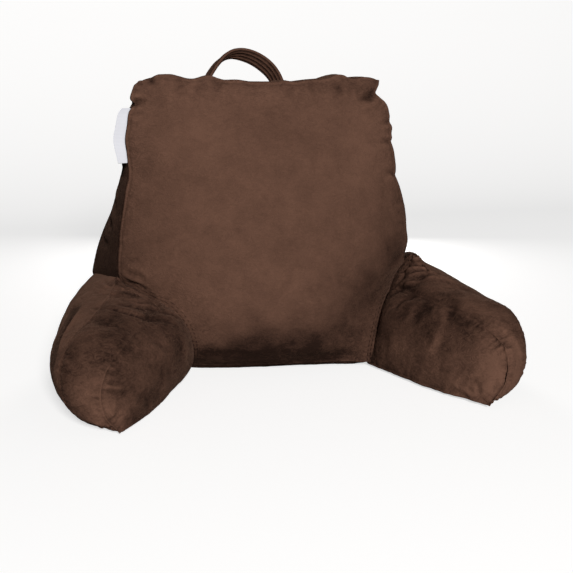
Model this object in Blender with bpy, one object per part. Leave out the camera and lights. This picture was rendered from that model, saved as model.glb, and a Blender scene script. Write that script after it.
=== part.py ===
"""Reading pillow with arms: a filled backrest, two filled arms, a carrying strap and a side tape.

Metres, +Z up. The origin is the middle of the base, the sitter faces -Y and +X is to the right seen
from the front. Every filled piece is a cube lattice whose twelve edges are the piece's sewn seams, and
whose faces are its panels: a panel is stretched between its seams, crowned, and then creased by its
folds.
"""

import math

import bmesh
import bpy
from mathutils import Vector

# Driving sizes
BASE_SEAM_Z = 0.010        # the backrest's base seams ride this high; the base itself is flat on z = 0
PIECE_GAP = 0.0003         # clearance between neighbouring pieces
CUT_GROWTH = 0.0005        # how far the backrest is grown to cut an arm: it leaves at least that gap
STEP = 0.01                # parameter step for surface normals

# The plane that the backrest's lower side seams follow: its three sewn corners at +X
SEAT_CORNER = Vector((0.124, -0.101, BASE_SEAM_Z))
FRONT_CORNER = Vector((0.211, 0.000, 0.125))
REAR_CORNER = Vector((0.241, 0.130, 0.105))

# Backrest: lattice cells across, front to rear and upwards, and the lattice row of the front corner
BACK_CELLS = (28, 10, 27)
CORNER_ROW = 9
BACK_COLUMNS = ("row", "front_x", "front_y", "front_z", "rear_x", "rear_y", "rear_z",
                "front_mid_y", "front_mid_z", "rear_mid_y", "rear_mid_z")
# Up to the corner row the side seams follow the plane, which gives their x
BACK_LOWER = (
    (0.0, None, -0.101, 0.010, None, 0.135, 0.010, -0.090, 0.010, 0.138, 0.010),
    (2.0, None, -0.085, 0.033, None, 0.137, 0.031, -0.112, 0.034, 0.153, 0.033),
    (4.0, None, -0.054, 0.056, None, 0.137, 0.053, -0.116, 0.060, 0.160, 0.058),
    (6.0, None, -0.012, 0.082, None, 0.135, 0.074, -0.112, 0.088, 0.163, 0.082),
    (7.5, None, 0.007, 0.104, None, 0.132, 0.090, -0.106, 0.108, 0.164, 0.099),
    (9.0, None, 0.000, 0.125, None, 0.130, 0.105, -0.098, 0.127, 0.164, 0.116),
)
BACK_UPPER = (
    (9.0, 0.211, 0.000, 0.125, 0.241, 0.130, 0.105, -0.098, 0.127, 0.164, 0.116),
    (12.0, 0.213, 0.005, 0.166, 0.229, 0.130, 0.155, -0.082, 0.169, 0.162, 0.160),
    (15.0, 0.208, 0.008, 0.208, 0.208, 0.127, 0.204, -0.065, 0.212, 0.159, 0.207),
    (18.0, 0.201, 0.011, 0.252, 0.194, 0.124, 0.252, -0.046, 0.256, 0.154, 0.254),
    (21.0, 0.195, 0.015, 0.298, 0.182, 0.120, 0.300, -0.027, 0.301, 0.147, 0.301),
    (24.0, 0.189, 0.019, 0.344, 0.172, 0.115, 0.346, -0.005, 0.345, 0.134, 0.346),
    (26.0, 0.181, 0.023, 0.374, 0.164, 0.111, 0.375, 0.011, 0.372, 0.120, 0.371),
    (27.0, 0.176, 0.026, 0.387, 0.160, 0.109, 0.387, 0.023, 0.384, 0.110, 0.379),
)
GUSSET_CROWN = 0.006
TOP_CROWN = 0.003
# Bumps of the filling along the top edge, which fade out over the rows below it; columns: across, reach
#   (both as shares of the half width), rise
TOP_BUMPS = ((-0.76, 0.17, 0.012), (-0.43, 0.11, 0.011), (-0.19, 0.12, 0.005), (0.05, 0.10, 0.002),
             (0.20, 0.06, 0.004), (0.42, 0.12, 0.004), (0.62, 0.13, 0.005), (0.665, 0.075, 0.007),
             (0.88, 0.10, 0.007))
TOP_BUMP_ROW = 23.0
REAR_BUMP = 0.6            # how much of a bump reaches the rear seam
BASE_SKEW = 0.012          # how far the front's foot runs forward at the right and back at the left,
LEFT_FOOT_BACK = 0.030     # how much further back its left corner stands,
BASE_SKEW_ROWS = 4.0       # and over how many rows that fades out

# Places where a side seam of the backrest is gathered in, or bulges where the depth is negative;
#   columns: height, reach up and down, depth
LEFT_TUCKS = ((0.393, 0.008, 0.010), (0.357, 0.007, 0.005), (0.310, 0.017, -0.0035),
              (0.262, 0.014, 0.003), (0.240, 0.110, 0.010), (0.165, 0.014, 0.002))
RIGHT_TUCKS = ((0.369, 0.010, 0.013), (0.302, 0.009, 0.0025), (0.251, 0.010, 0.003),
               (0.200, 0.034, -0.0045), (0.156, 0.014, -0.0035))
REAR_TUCK = 0.5            # how much of a tuck the rear seam follows

# Arms, both given as at +X: lattice cells along, across and upwards
ARM_CELLS = (19, 7, 10)
ROOT_HEART = Vector((0.100, 0.030, 0.060))   # the root is drawn this way, into the backrest,
ROOT_DRAW = 0.15                             # by this share
ARM_HEART = Vector((0.210, -0.080, 0.050))   # a point inside the arm, which its panels face away from
INNER_LIFT = 0.004                           # how high the arm's base seams ride
OUTER_LIFT = 0.010
INNER_CROWN = 0.016
STRIP_CROWN = 0.008
# outer_crown: the outer panel's crown
# root_: the sewn outline's inner seam from the floor up, its strip from the inner to the outer seam,
#   and its outer seam from the floor up; columns: share of the run, x, y, z
# strip: the boxing strip, from the root over the top (to station 1) and round the end to the floor;
#   columns: station, inner seam x, y, z, outer seam x, y, z
# base: columns: station, inner seam x, y, outer seam x, y
# folds: the main folds, in the strip's station and share across (0 inner seam, 1 outer seam)
FOLD_COLUMNS = ("station_a", "across_a", "station_b", "across_b", "width", "depth")
ARM_RIGHT = {
    "outer_crown": 0.024,
    "root_inner": ((0.0, 0.124, -0.101, 0.004), (0.35, 0.142, -0.080, 0.034),
                   (0.7, 0.161, -0.046, 0.060), (1.0, 0.183, -0.010, 0.085)),
    "root_strip": ((0.0, 0.183, -0.010, 0.085), (0.5, 0.199, 0.000, 0.106), (1.0, 0.211, 0.000, 0.127)),
    "root_outer": ((0.0, 0.192, 0.135, 0.004), (0.35, 0.216, 0.139, 0.052),
                   (0.62, 0.238, 0.128, 0.100), (1.0, 0.211, 0.000, 0.127)),
    "strip": (
        (0.00, 0.183, -0.010, 0.085, 0.211, 0.000, 0.127),
        (0.08, 0.185, -0.028, 0.092, 0.2215, -0.016, 0.1405),
        (0.22, 0.189, -0.062, 0.096, 0.226, -0.052, 0.126),
        (0.45, 0.197, -0.122, 0.099, 0.244, -0.107, 0.112),
        (0.65, 0.212, -0.175, 0.096, 0.264, -0.154, 0.105),
        (0.83, 0.229, -0.220, 0.089, 0.284, -0.195, 0.099),
        (1.00, 0.243, -0.254, 0.076, 0.288, -0.226, 0.082),
        (1.30, 0.248, -0.275, 0.056, 0.287, -0.247, 0.056),
        (1.65, 0.238, -0.291, 0.028, 0.278, -0.257, 0.029),
        (2.00, 0.215, -0.299, 0.004, 0.260, -0.252, 0.010),
    ),
    "base": (
        (0.00, 0.124, -0.101, 0.192, 0.135),
        (0.30, 0.145, -0.156, 0.236, 0.060),
        (0.60, 0.170, -0.221, 0.270, -0.040),
        (0.85, 0.197, -0.270, 0.281, -0.150),
        (1.00, 0.215, -0.299, 0.260, -0.252),
    ),
    "folds": (
        (0.05, 1.00, 0.12, 0.30, 0.012, 0.007),
        (0.20, 1.00, 0.28, 0.45, 0.013, 0.006),
        (0.40, 1.00, 0.50, 0.60, 0.013, 0.004),
        (0.98, 0.05, 1.25, 0.40, 0.012, 0.004),
        (1.55, 0.05, 1.50, 0.55, 0.012, 0.004),
    ),
}
ARM_LEFT = {
    "outer_crown": 0.018,
    "root_inner": ((0.0, 0.1185, -0.064, 0.004), (0.35, 0.121, -0.088, 0.040),
                   (0.7, 0.129, -0.078, 0.070), (1.0, 0.150, -0.045, 0.094)),
    "root_strip": ((0.0, 0.150, -0.045, 0.094), (0.5, 0.184, -0.016, 0.112), (1.0, 0.211, 0.000, 0.124)),
    "root_outer": ((0.0, 0.192, 0.135, 0.004), (0.35, 0.216, 0.139, 0.052),
                   (0.62, 0.238, 0.128, 0.100), (1.0, 0.211, 0.000, 0.124)),
    "strip": (
        (0.00, 0.150, -0.045, 0.094, 0.211, 0.000, 0.124),
        (0.22, 0.161, -0.092, 0.099, 0.221, -0.060, 0.118),
        (0.45, 0.182, -0.146, 0.099, 0.238, -0.118, 0.112),
        (0.65, 0.203, -0.194, 0.096, 0.257, -0.166, 0.105),
        (0.83, 0.221, -0.236, 0.090, 0.275, -0.204, 0.099),
        (1.00, 0.238, -0.263, 0.077, 0.289, -0.232, 0.082),
        (1.30, 0.249, -0.277, 0.055, 0.294, -0.248, 0.057),
        (1.65, 0.247, -0.284, 0.028, 0.286, -0.254, 0.030),
        (2.00, 0.230, -0.284, 0.004, 0.267, -0.245, 0.010),
    ),
    "base": (
        (0.00, 0.1185, -0.064, 0.192, 0.135),
        (0.30, 0.150, -0.140, 0.234, 0.060),
        (0.60, 0.177, -0.201, 0.268, -0.040),
        (0.85, 0.206, -0.252, 0.284, -0.150),
        (1.00, 0.230, -0.284, 0.267, -0.245),
    ),
    "folds": (
        (0.02, 1.00, 0.06, 0.20, 0.010, 0.008),
        (0.14, 0.95, 0.16, 0.10, 0.011, 0.010),
        (0.28, 0.90, 0.33, 0.12, 0.012, 0.007),
        (0.62, 0.95, 0.70, 0.55, 0.012, 0.004),
    ),
}

# Carrying strap, an arch standing on the top gusset just in front of the rear seam
STRAP_CELLS = (22, 4, 1)
# columns: share of its run, x, z, and how far it is twisted, in degrees
STRAP_RUN = (
    (0.00, -0.0700, 0.376, 8.0),
    (0.12, -0.0603, 0.3965, 6.0),
    (0.25, -0.0475, 0.4130, -2.0),
    (0.40, -0.0305, 0.4240, -24.0),
    (0.52, -0.0140, 0.4250, -42.0),
    (0.65, 0.0045, 0.4195, -52.0),
    (0.78, 0.0215, 0.4090, -55.0),
    (0.90, 0.0340, 0.3960, -46.0),
    (1.00, 0.0440, 0.3780, -34.0),
)
STRAP_WIDTH = 0.024
STRAP_THICK = 0.0056
STRAP_EDGE = 0.55          # thickness at its selvedges, as a share
STRAP_Y = 0.094

# Blank folded tape, caught in the left front seam
TAPE_CELLS = (4, 1, 10)
TAPE_LOW_Z = 0.279
TAPE_HIGH_Z = 0.353
TAPE_REACH = 0.013
TAPE_THICK = 0.0022
TAPE_BOW = 0.003           # how much further its middle reaches
TAPE_LEAN = 0.003          # how far its free edge curls forward

VELVET_BROWN = (0.092, 0.047, 0.032)
STRAP_BROWN = (0.080, 0.041, 0.028)
TAPE_WHITE = (0.74, 0.74, 0.76)


def clear_scene():
    """Empty the scene, so the script can be run again."""
    for old in list(bpy.data.objects):
        bpy.data.objects.remove(old, do_unlink=True)


def material(name, colour, roughness):
    """A plain surface of the piece's colour."""
    made = bpy.data.materials.new(name)
    made.use_nodes = True
    shader = made.node_tree.nodes["Principled BSDF"]
    shader.inputs["Base Color"].default_value = (*colour, 1.0)
    shader.inputs["Roughness"].default_value = roughness
    shader.inputs["Metallic"].default_value = 0.0
    return made


def smooth_row(rows, at):
    """Read a table between its rows on a smooth curve; the first column says where each row stands."""
    last = len(rows) - 1
    low = max(index for index in range(last) if rows[index][0] <= at or index == 0)
    span = rows[low + 1][0] - rows[low][0]
    t = min(max((at - rows[low][0]) / span, 0.0), 1.0)

    def slope(index, column):
        before, after = rows[max(index - 1, 0)], rows[min(index + 1, last)]
        return (after[column] - before[column]) / (after[0] - before[0]) * span

    values = []
    for column in range(1, len(rows[0])):
        a, b = rows[low][column], rows[low + 1][column]
        slope_a, slope_b = slope(low, column), slope(low + 1, column)
        values.append((2 * t ** 3 - 3 * t ** 2 + 1) * a + (t ** 3 - 2 * t ** 2 + t) * slope_a
                      + (3 * t ** 2 - 2 * t ** 3) * b + (t ** 3 - t ** 2) * slope_b)
    return values


def dome(t, roundness=2.4, fullness=0.8):
    """A crown's profile across a panel: nothing at the seams (0 and 1), one in the middle."""
    return max(0.0, 1.0 - abs(2.0 * t - 1.0) ** roundness) ** fullness


def plane_x(y, z):
    """The x of the backrest's lower side at a depth and height, from its three sewn corners."""
    normal = (REAR_CORNER - FRONT_CORNER).cross(SEAT_CORNER - FRONT_CORNER)
    return FRONT_CORNER.x - (normal.y * (y - FRONT_CORNER.y) + normal.z * (z - FRONT_CORNER.z)) / normal.x


def lattice(cells):
    """A cube cut into cells, with every corner of the lattice at whole-number coordinates."""
    mesh = bmesh.new()
    bmesh.ops.create_cube(mesh, size=1.0)
    bmesh.ops.translate(mesh, verts=mesh.verts, vec=(0.5, 0.5, 0.5))
    for axis, count in enumerate(cells):
        along = [edge for edge in mesh.edges
                 if abs(edge.verts[0].co[axis] - edge.verts[1].co[axis]) > 0.5]
        if count > 1:
            bmesh.ops.subdivide_edges(mesh, edges=along, cuts=count - 1, use_grid_fill=True)
    bmesh.ops.scale(mesh, verts=mesh.verts, vec=cells)
    return mesh


def form(name, cells, place, finish, mirrored=False):
    """Place every lattice corner with the piece's own form, and make the object."""
    mesh = lattice(cells)
    for vert in mesh.verts:
        target = place(round(vert.co.x), round(vert.co.y), round(vert.co.z))
        vert.co = (-target.x, target.y, target.z) if mirrored else target
    if mirrored:
        bmesh.ops.reverse_faces(mesh, faces=mesh.faces)
    bmesh.ops.triangulate(mesh, faces=mesh.faces)
    data = bpy.data.meshes.new(name)
    mesh.to_mesh(data)
    mesh.free()
    data.shade_smooth()
    data.materials.append(finish)
    made = bpy.data.objects.new(name, data)
    bpy.data.collections["reading_pillow"].objects.link(made)
    return made


def foot_share(row):
    """How much of the slant of the backrest's foot reaches a row."""
    return max(0.0, 1.0 - row / BASE_SKEW_ROWS) ** 2


def back_row(row, side):
    """The backrest's seams and middle lines at a lattice row, with the side's tucks."""
    rows = BACK_LOWER if row < CORNER_ROW else BACK_UPPER
    if rows is BACK_LOWER:
        rows = [(r[0], plane_x(r[2], r[3]), r[2], r[3], plane_x(r[5], r[6]), *r[5:]) for r in rows]
    line = dict(zip(BACK_COLUMNS[1:], smooth_row(rows, row)))
    if row < CORNER_ROW:
        if side < 0:
            line["front_y"] += LEFT_FOOT_BACK * foot_share(row)
        line["front_x"] = plane_x(line["front_y"], line["front_z"])
        line["rear_x"] = plane_x(line["rear_y"], line["rear_z"])
    tucks = LEFT_TUCKS if side < 0 else RIGHT_TUCKS
    tuck = sum(depth * math.exp(-((line["front_z"] - z) / reach) ** 2) for z, reach, depth in tucks)
    line["front_x"] -= tuck
    line["rear_x"] -= REAR_TUCK * tuck
    return line


def back_surface(across, depth, row):
    """A point of the backrest: across from -1 to 1, depth from 0 (front) to 1 (rear), row upwards."""
    line = back_row(row, across)
    rows_up = BACK_CELLS[2]
    share = dome(0.5 + 0.5 * across, fullness=0.9)
    front = Vector((across * line["front_x"],
                    line["front_y"] + (line["front_mid_y"] - line["front_y"]) * share,
                    line["front_z"] + (line["front_mid_z"] - line["front_z"]) * share))
    rear = Vector((across * line["rear_x"],
                   line["rear_y"] + (line["rear_mid_y"] - line["rear_y"]) * share,
                   line["rear_z"] + (line["rear_mid_z"] - line["rear_z"]) * share))
    front.y -= BASE_SKEW * across * foot_share(row)
    place = front.lerp(rear, depth)
    fade = max(0.0, (row - TOP_BUMP_ROW) / (rows_up - TOP_BUMP_ROW)) ** 1.5
    bump = sum(rise * math.exp(-((across - middle) / reach) ** 2) for middle, reach, rise in TOP_BUMPS)
    place.z += bump * fade * (1.0 + (REAR_BUMP - 1.0) * depth)
    puff = dome(depth)
    if abs(across) == 1 and row > CORNER_ROW:
        rise = dome((row - CORNER_ROW) / (rows_up - CORNER_ROW))
        place.x += math.copysign(GUSSET_CROWN * puff * rise, across)
    if row == rows_up:
        place.z += TOP_CROWN * puff * dome(0.5 + 0.5 * across, roundness=8.0)
    if row == 0 and abs(across) < 1 and 0 < depth < 1:
        place.z = 0.0
    return place


def back_place(i, j, k):
    """A lattice corner of the backrest."""
    return back_surface(2.0 * i / BACK_CELLS[0] - 1.0, j / BACK_CELLS[1], k)


def patch(low, high, start, end, a, b):
    """A panel stretched between four seams: low and high run along a, start and end along b."""
    ruled = low(a).lerp(high(a), b) + start(b).lerp(end(b), a)
    corners = low(0).lerp(low(1), a).lerp(high(0).lerp(high(1), a), b)
    return ruled - corners


class Arm:
    """One arm's panels between its seams; a station runs from the root (0) to the end (1)."""

    def __init__(self, tables):
        self.tables = tables
        self.inside = ARM_HEART

    def root(self, edge, t):
        return Vector(smooth_row(self.tables[edge], t))

    def strip_seam(self, station, outer):
        row = smooth_row(self.tables["strip"], station)
        return Vector(row[3:] if outer else row[:3])

    def base_seam(self, station, outer):
        row = smooth_row(self.tables["base"], station)
        return Vector((*row[2:], OUTER_LIFT) if outer else (*row[:2], INNER_LIFT))

    def side_panel(self, outer, along, up):
        """The panel towards the seat, or the outer one, which starts at the gusset's lower seam."""
        edge = "root_outer" if outer else "root_inner"
        return patch(lambda a: self.base_seam(a, outer), lambda a: self.strip_seam(a, outer),
                     lambda b: self.root(edge, b), lambda b: self.strip_seam(2.0 - b, outer), along, up)

    def strip_panel(self, station, across):
        """The boxing strip, over the top and round the end; its start follows the root outline."""
        straight = self.strip_seam(0.0, False).lerp(self.strip_seam(0.0, True), across)
        bend = (self.root("root_strip", across) - straight) * max(0.0, 1.0 - 3.0 * station)
        return self.strip_seam(station, False).lerp(self.strip_seam(station, True), across) + bend

    def root_panel(self, across, up):
        """The sewn end, inside the backrest's side."""
        return patch(lambda a: self.root("root_inner", 0).lerp(self.root("root_outer", 0), a),
                     lambda a: self.root("root_strip", a),
                     lambda b: self.root("root_inner", b), lambda b: self.root("root_outer", b), across, up)

    def outward(self, panel, a, b):
        """A panel's unit normal, away from the middle of the arm."""
        normal = (panel(a + STEP, b) - panel(a - STEP, b)).cross(panel(a, b + STEP) - panel(a, b - STEP))
        normal.normalize()
        return normal if (panel(a, b) - self.inside).dot(normal) > 0 else -normal

    def fold_depth(self, place):
        """How deep the folds press a point in."""
        depth = 0.0
        for values in self.tables["folds"]:
            fold = dict(zip(FOLD_COLUMNS, values))
            start = self.strip_panel(fold["station_a"], fold["across_a"])
            run = self.strip_panel(fold["station_b"], fold["across_b"]) - start
            share = min(max((place - start).dot(run) / run.length_squared, 0.0), 1.0)
            aside = (place - start - run * share).length
            depth += fold["depth"] * math.exp(-(aside / fold["width"]) ** 2)
        return depth

    def place(self, i, j, k):
        """A lattice corner; the first cells along lie inside the backrest, drawn to its heart."""
        across, up = j / ARM_CELLS[1], k / ARM_CELLS[2]
        if i == 0:
            return self.root_panel(across, up).lerp(ROOT_HEART, ROOT_DRAW)
        along = (i - 1) / (ARM_CELLS[0] - 1)
        root_fade = dome(0.5 * min(1.0, along * 3.0), fullness=0.6)
        if k == 0:
            place = self.base_seam(along, False).lerp(self.base_seam(along, True), across)
            if 0 < j < ARM_CELLS[1] and along < 1:
                place.z = 0.0
            return place
        if k == ARM_CELLS[2] or along == 1:
            station = along if k == ARM_CELLS[2] else 2.0 - up
            floor_fade = dome(0.5 * min(1.0, (2.0 - station) * 2.5), fullness=0.6)
            place = self.strip_panel(station, across)
            lift = STRIP_CROWN * dome(across) * root_fade * floor_fade
            lift -= self.fold_depth(place) * dome(across, fullness=0.3)
            return place + self.outward(self.strip_panel, station, across) * lift
        outer = j > 0
        crown = self.tables["outer_crown"] if outer else INNER_CROWN
        place = self.side_panel(outer, along, up)
        fade = dome(0.5 * min(1.0, along * 1.7), fullness=1.1) if outer else root_fade
        lift = crown * dome(up) * fade * dome(0.5 + 0.5 * along, fullness=0.7)
        lift -= self.fold_depth(place) * dome(up)
        return place + self.outward(lambda a, b: self.side_panel(outer, a, b), along, up) * lift


def grown_copy(backrest):
    """The backrest grown by a little, to cut what is sewn to it."""
    grown = bpy.data.objects.new("backrest_grown", backrest.data.copy())
    for vert, kept in zip(grown.data.vertices, backrest.data.vertices):
        vert.co += kept.normal * CUT_GROWTH
    grown.display_type = "WIRE"
    grown.hide_render = True
    bpy.data.collections["cutters"].objects.link(grown)
    return grown


def cut_to_fit(piece, cutter):
    """Cut a piece's sewn end to the backrest, with the clearance between pieces."""
    cut = piece.modifiers.new("sewn_end", "BOOLEAN")
    cut.operation = "DIFFERENCE"
    cut.solver = "EXACT"
    cut.object = cutter


def strap_line(t):
    """The middle of the strap at a share of its run, the way out of its arch, and its twist."""
    x, z, twist = smooth_row(STRAP_RUN, t)
    after, before = (smooth_row(STRAP_RUN, min(max(t + step, 0.0), 1.0)) for step in (STEP, -STEP))
    outer = Vector((before[1] - after[1], 0.0, after[0] - before[0])).normalized()
    return Vector((x, STRAP_Y, z)), outer, math.radians(twist)


def strap_place(i, j, k):
    """A lattice corner of the carrying strap: a twisted arch with its feet inside the top seam."""
    middle, outer, twist = strap_line(i / STRAP_CELLS[0])
    width = Vector((0.0, math.cos(twist), 0.0)) + outer * math.sin(twist)
    thick = Vector((outer.z, 0.0, -outer.x)).cross(width)
    thin_edge = 1.0 if 0 < j < STRAP_CELLS[1] else STRAP_EDGE
    place = middle + width * STRAP_WIDTH * (j / STRAP_CELLS[1] - 0.5)
    return place + thick * STRAP_THICK * (k - 0.5) * thin_edge


def row_at(z):
    """The lattice row at which the backrest's front seam reaches a height, above the corner."""
    for low, high in zip(BACK_UPPER, BACK_UPPER[1:]):
        if z <= high[3]:
            return low[0] + (high[0] - low[0]) * (z - low[3]) / (high[3] - low[3])
    return BACK_UPPER[-1][0]


def tape_place(i, j, k):
    """A lattice corner of the blank tape: a shallow curl out from the left front seam."""
    z = TAPE_LOW_Z + (TAPE_HIGH_Z - TAPE_LOW_Z) * k / TAPE_CELLS[2]
    out = i / TAPE_CELLS[0]
    line = back_row(row_at(z), -1.0)
    bow = 1.0 - (2.0 * k / TAPE_CELLS[2] - 1.0) ** 2
    x = line["front_x"] + PIECE_GAP + (TAPE_REACH + TAPE_BOW * bow) * out
    y = line["front_y"] - PIECE_GAP - TAPE_LEAN * out ** 2 + (j - 1) * TAPE_THICK
    return Vector((x, y, z))


def main():
    """Build every piece."""
    clear_scene()
    for name in ("reading_pillow", "cutters"):
        bpy.context.scene.collection.children.link(bpy.data.collections.new(name))
    velvet = material("brown_velvet", VELVET_BROWN, 0.85)
    strap = material("brown_strap", STRAP_BROWN, 0.85)
    backrest = form("backrest", BACK_CELLS, back_place, velvet)
    cutter = grown_copy(backrest)
    cut_to_fit(form("arm_right", ARM_CELLS, Arm(ARM_RIGHT).place, velvet), cutter)
    cut_to_fit(form("arm_left", ARM_CELLS, Arm(ARM_LEFT).place, velvet, mirrored=True), cutter)
    cut_to_fit(form("handle", STRAP_CELLS, strap_place, strap), cutter)
    form("label", TAPE_CELLS, tape_place, material("white_tape", TAPE_WHITE, 0.6), mirrored=True)


main()
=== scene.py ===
"""Reading pillow with arms: velvet backrest and arms, a carrying strap and a blank side tape.

Metres, +Z up. The origin is the middle of the base, the sitter faces -Y and +X is to the right seen
from the front. Every filled piece is a cube lattice whose edges are its sewn seams. It is stretched
between its seams, filled by a cloth simulation, cut finer, and then gathered and creased.
"""

import math

import bmesh
import bpy
import numpy as np
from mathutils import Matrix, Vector, noise
from mathutils.bvhtree import BVHTree


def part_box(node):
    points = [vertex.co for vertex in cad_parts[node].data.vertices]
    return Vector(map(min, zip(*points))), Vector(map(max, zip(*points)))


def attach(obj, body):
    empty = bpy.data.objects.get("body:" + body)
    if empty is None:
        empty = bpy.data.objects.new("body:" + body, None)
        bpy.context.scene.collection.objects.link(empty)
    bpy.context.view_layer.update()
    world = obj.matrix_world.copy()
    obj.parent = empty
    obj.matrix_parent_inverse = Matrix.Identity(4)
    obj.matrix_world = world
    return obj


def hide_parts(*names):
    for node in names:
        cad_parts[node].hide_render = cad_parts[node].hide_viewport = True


bl_info = {
    "name": "Reading pillow with arms",
    "version": (1, 0, 0),
    "blender": (4, 5, 0),
    "location": "View3D > Sidebar > Pillow",
    "description": "Builds the velvet panels, strap and tape of a reading pillow round its solids",
    "category": "Object",
}

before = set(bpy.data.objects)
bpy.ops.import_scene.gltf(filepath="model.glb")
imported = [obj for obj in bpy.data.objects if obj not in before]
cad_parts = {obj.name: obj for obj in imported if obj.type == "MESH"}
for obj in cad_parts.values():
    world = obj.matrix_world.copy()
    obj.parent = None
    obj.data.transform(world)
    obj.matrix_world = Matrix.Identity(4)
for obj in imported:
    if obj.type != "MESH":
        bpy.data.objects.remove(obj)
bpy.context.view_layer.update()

# ---------------------------------------------------------------- sizes of the pieces, in metres

BASE_SEAM_Z = 0.010
PIECE_GAP = 0.0003
STEP = 0.01

# The plane of the backrest's lower side seams: its three sewn corners at +X
SEAT_CORNER = Vector((0.124, -0.101, BASE_SEAM_Z))
FRONT_CORNER = Vector((0.211, 0.000, 0.125))
REAR_CORNER = Vector((0.241, 0.130, 0.105))

BACK_ROWS = 27
CORNER_ROW = 9
BACK_COLUMNS = ("row", "front_x", "front_y", "front_z", "rear_x", "rear_y", "rear_z",
                "front_mid_y", "front_mid_z", "rear_mid_y", "rear_mid_z")
BACK_LOWER = (
    (0.0, None, -0.101, 0.010, None, 0.135, 0.010, -0.090, 0.010, 0.138, 0.010),
    (2.0, None, -0.085, 0.033, None, 0.137, 0.031, -0.112, 0.034, 0.153, 0.033),
    (4.0, None, -0.054, 0.056, None, 0.137, 0.053, -0.116, 0.060, 0.160, 0.058),
    (6.0, None, -0.012, 0.082, None, 0.135, 0.074, -0.112, 0.088, 0.163, 0.082),
    (7.5, None, 0.007, 0.104, None, 0.132, 0.090, -0.106, 0.108, 0.164, 0.099),
    (9.0, None, 0.000, 0.125, None, 0.130, 0.105, -0.098, 0.127, 0.164, 0.116),
)
BACK_UPPER = (
    (9.0, 0.211, 0.000, 0.125, 0.241, 0.130, 0.105, -0.098, 0.127, 0.164, 0.116),
    (12.0, 0.213, 0.005, 0.166, 0.229, 0.130, 0.155, -0.082, 0.169, 0.162, 0.160),
    (15.0, 0.208, 0.008, 0.208, 0.208, 0.127, 0.204, -0.065, 0.212, 0.159, 0.207),
    (18.0, 0.201, 0.011, 0.252, 0.194, 0.124, 0.252, -0.046, 0.256, 0.154, 0.254),
    (21.0, 0.195, 0.015, 0.298, 0.182, 0.120, 0.300, -0.027, 0.301, 0.147, 0.301),
    (24.0, 0.189, 0.019, 0.344, 0.172, 0.115, 0.346, -0.005, 0.345, 0.134, 0.346),
    (26.0, 0.181, 0.023, 0.374, 0.164, 0.111, 0.375, 0.011, 0.372, 0.120, 0.371),
    (27.0, 0.176, 0.026, 0.387, 0.160, 0.109, 0.387, 0.023, 0.384, 0.110, 0.379),
)
GUSSET_CROWN = 0.006
TOP_CROWN = 0.003
# Bumps of the filling along the top edge; columns: across, reach (shares of the half width), rise
TOP_BUMPS = ((-0.76, 0.17, 0.012), (-0.43, 0.11, 0.011), (-0.19, 0.12, 0.005), (0.05, 0.10, 0.002),
             (0.20, 0.06, 0.004), (0.42, 0.12, 0.004), (0.62, 0.13, 0.005), (0.665, 0.075, 0.007),
             (0.88, 0.10, 0.007))
TOP_BUMP_ROW = 23.0
REAR_BUMP = 0.6
BASE_SKEW = 0.012
LEFT_FOOT_BACK = 0.030
BASE_SKEW_ROWS = 4.0
# columns: height, reach up and down, depth (a bulge where it is negative)
LEFT_TUCKS = ((0.393, 0.008, 0.010), (0.357, 0.007, 0.005), (0.310, 0.017, -0.0035),
              (0.262, 0.014, 0.003), (0.240, 0.110, 0.010), (0.165, 0.014, 0.002))
RIGHT_TUCKS = ((0.369, 0.010, 0.013), (0.302, 0.009, 0.0025), (0.251, 0.010, 0.003),
               (0.200, 0.034, -0.0045), (0.156, 0.014, -0.0035))
REAR_TUCK = 0.5

ROOT_HEART = Vector((0.100, 0.030, 0.060))
ROOT_DRAW = 0.15
ARM_HEART = Vector((0.210, -0.080, 0.050))
INNER_LIFT = 0.004
OUTER_LIFT = 0.010
INNER_CROWN = 0.016
STRIP_CROWN = 0.008
FOLD_COLUMNS = ("station_a", "across_a", "station_b", "across_b", "width", "depth")
ARM_RIGHT = {
    "outer_crown": 0.024,
    "root_inner": ((0.0, 0.124, -0.101, 0.004), (0.35, 0.142, -0.080, 0.034),
                   (0.7, 0.161, -0.046, 0.060), (1.0, 0.183, -0.010, 0.085)),
    "root_strip": ((0.0, 0.183, -0.010, 0.085), (0.5, 0.199, 0.000, 0.106), (1.0, 0.211, 0.000, 0.127)),
    "root_outer": ((0.0, 0.192, 0.135, 0.004), (0.35, 0.216, 0.139, 0.052),
                   (0.62, 0.238, 0.128, 0.100), (1.0, 0.211, 0.000, 0.127)),
    "strip": (
        (0.00, 0.183, -0.010, 0.085, 0.211, 0.000, 0.127),
        (0.08, 0.185, -0.028, 0.092, 0.2215, -0.016, 0.1405),
        (0.22, 0.189, -0.062, 0.096, 0.226, -0.052, 0.126),
        (0.45, 0.197, -0.122, 0.099, 0.244, -0.107, 0.112),
        (0.65, 0.212, -0.175, 0.096, 0.264, -0.154, 0.105),
        (0.83, 0.229, -0.220, 0.089, 0.284, -0.195, 0.099),
        (1.00, 0.243, -0.254, 0.076, 0.288, -0.226, 0.082),
        (1.30, 0.248, -0.275, 0.056, 0.287, -0.247, 0.056),
        (1.65, 0.238, -0.291, 0.028, 0.278, -0.257, 0.029),
        (2.00, 0.215, -0.299, 0.004, 0.260, -0.252, 0.010),
    ),
    "base": (
        (0.00, 0.124, -0.101, 0.192, 0.135),
        (0.30, 0.145, -0.156, 0.236, 0.060),
        (0.60, 0.170, -0.221, 0.270, -0.040),
        (0.85, 0.197, -0.270, 0.281, -0.150),
        (1.00, 0.215, -0.299, 0.260, -0.252),
    ),
    "folds": (
        (0.05, 1.00, 0.12, 0.30, 0.012, 0.007),
        (0.20, 1.00, 0.28, 0.45, 0.013, 0.006),
        (0.40, 1.00, 0.50, 0.60, 0.013, 0.004),
        (0.98, 0.05, 1.25, 0.40, 0.012, 0.004),
        (1.55, 0.05, 1.50, 0.55, 0.012, 0.004),
    ),
}
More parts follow.
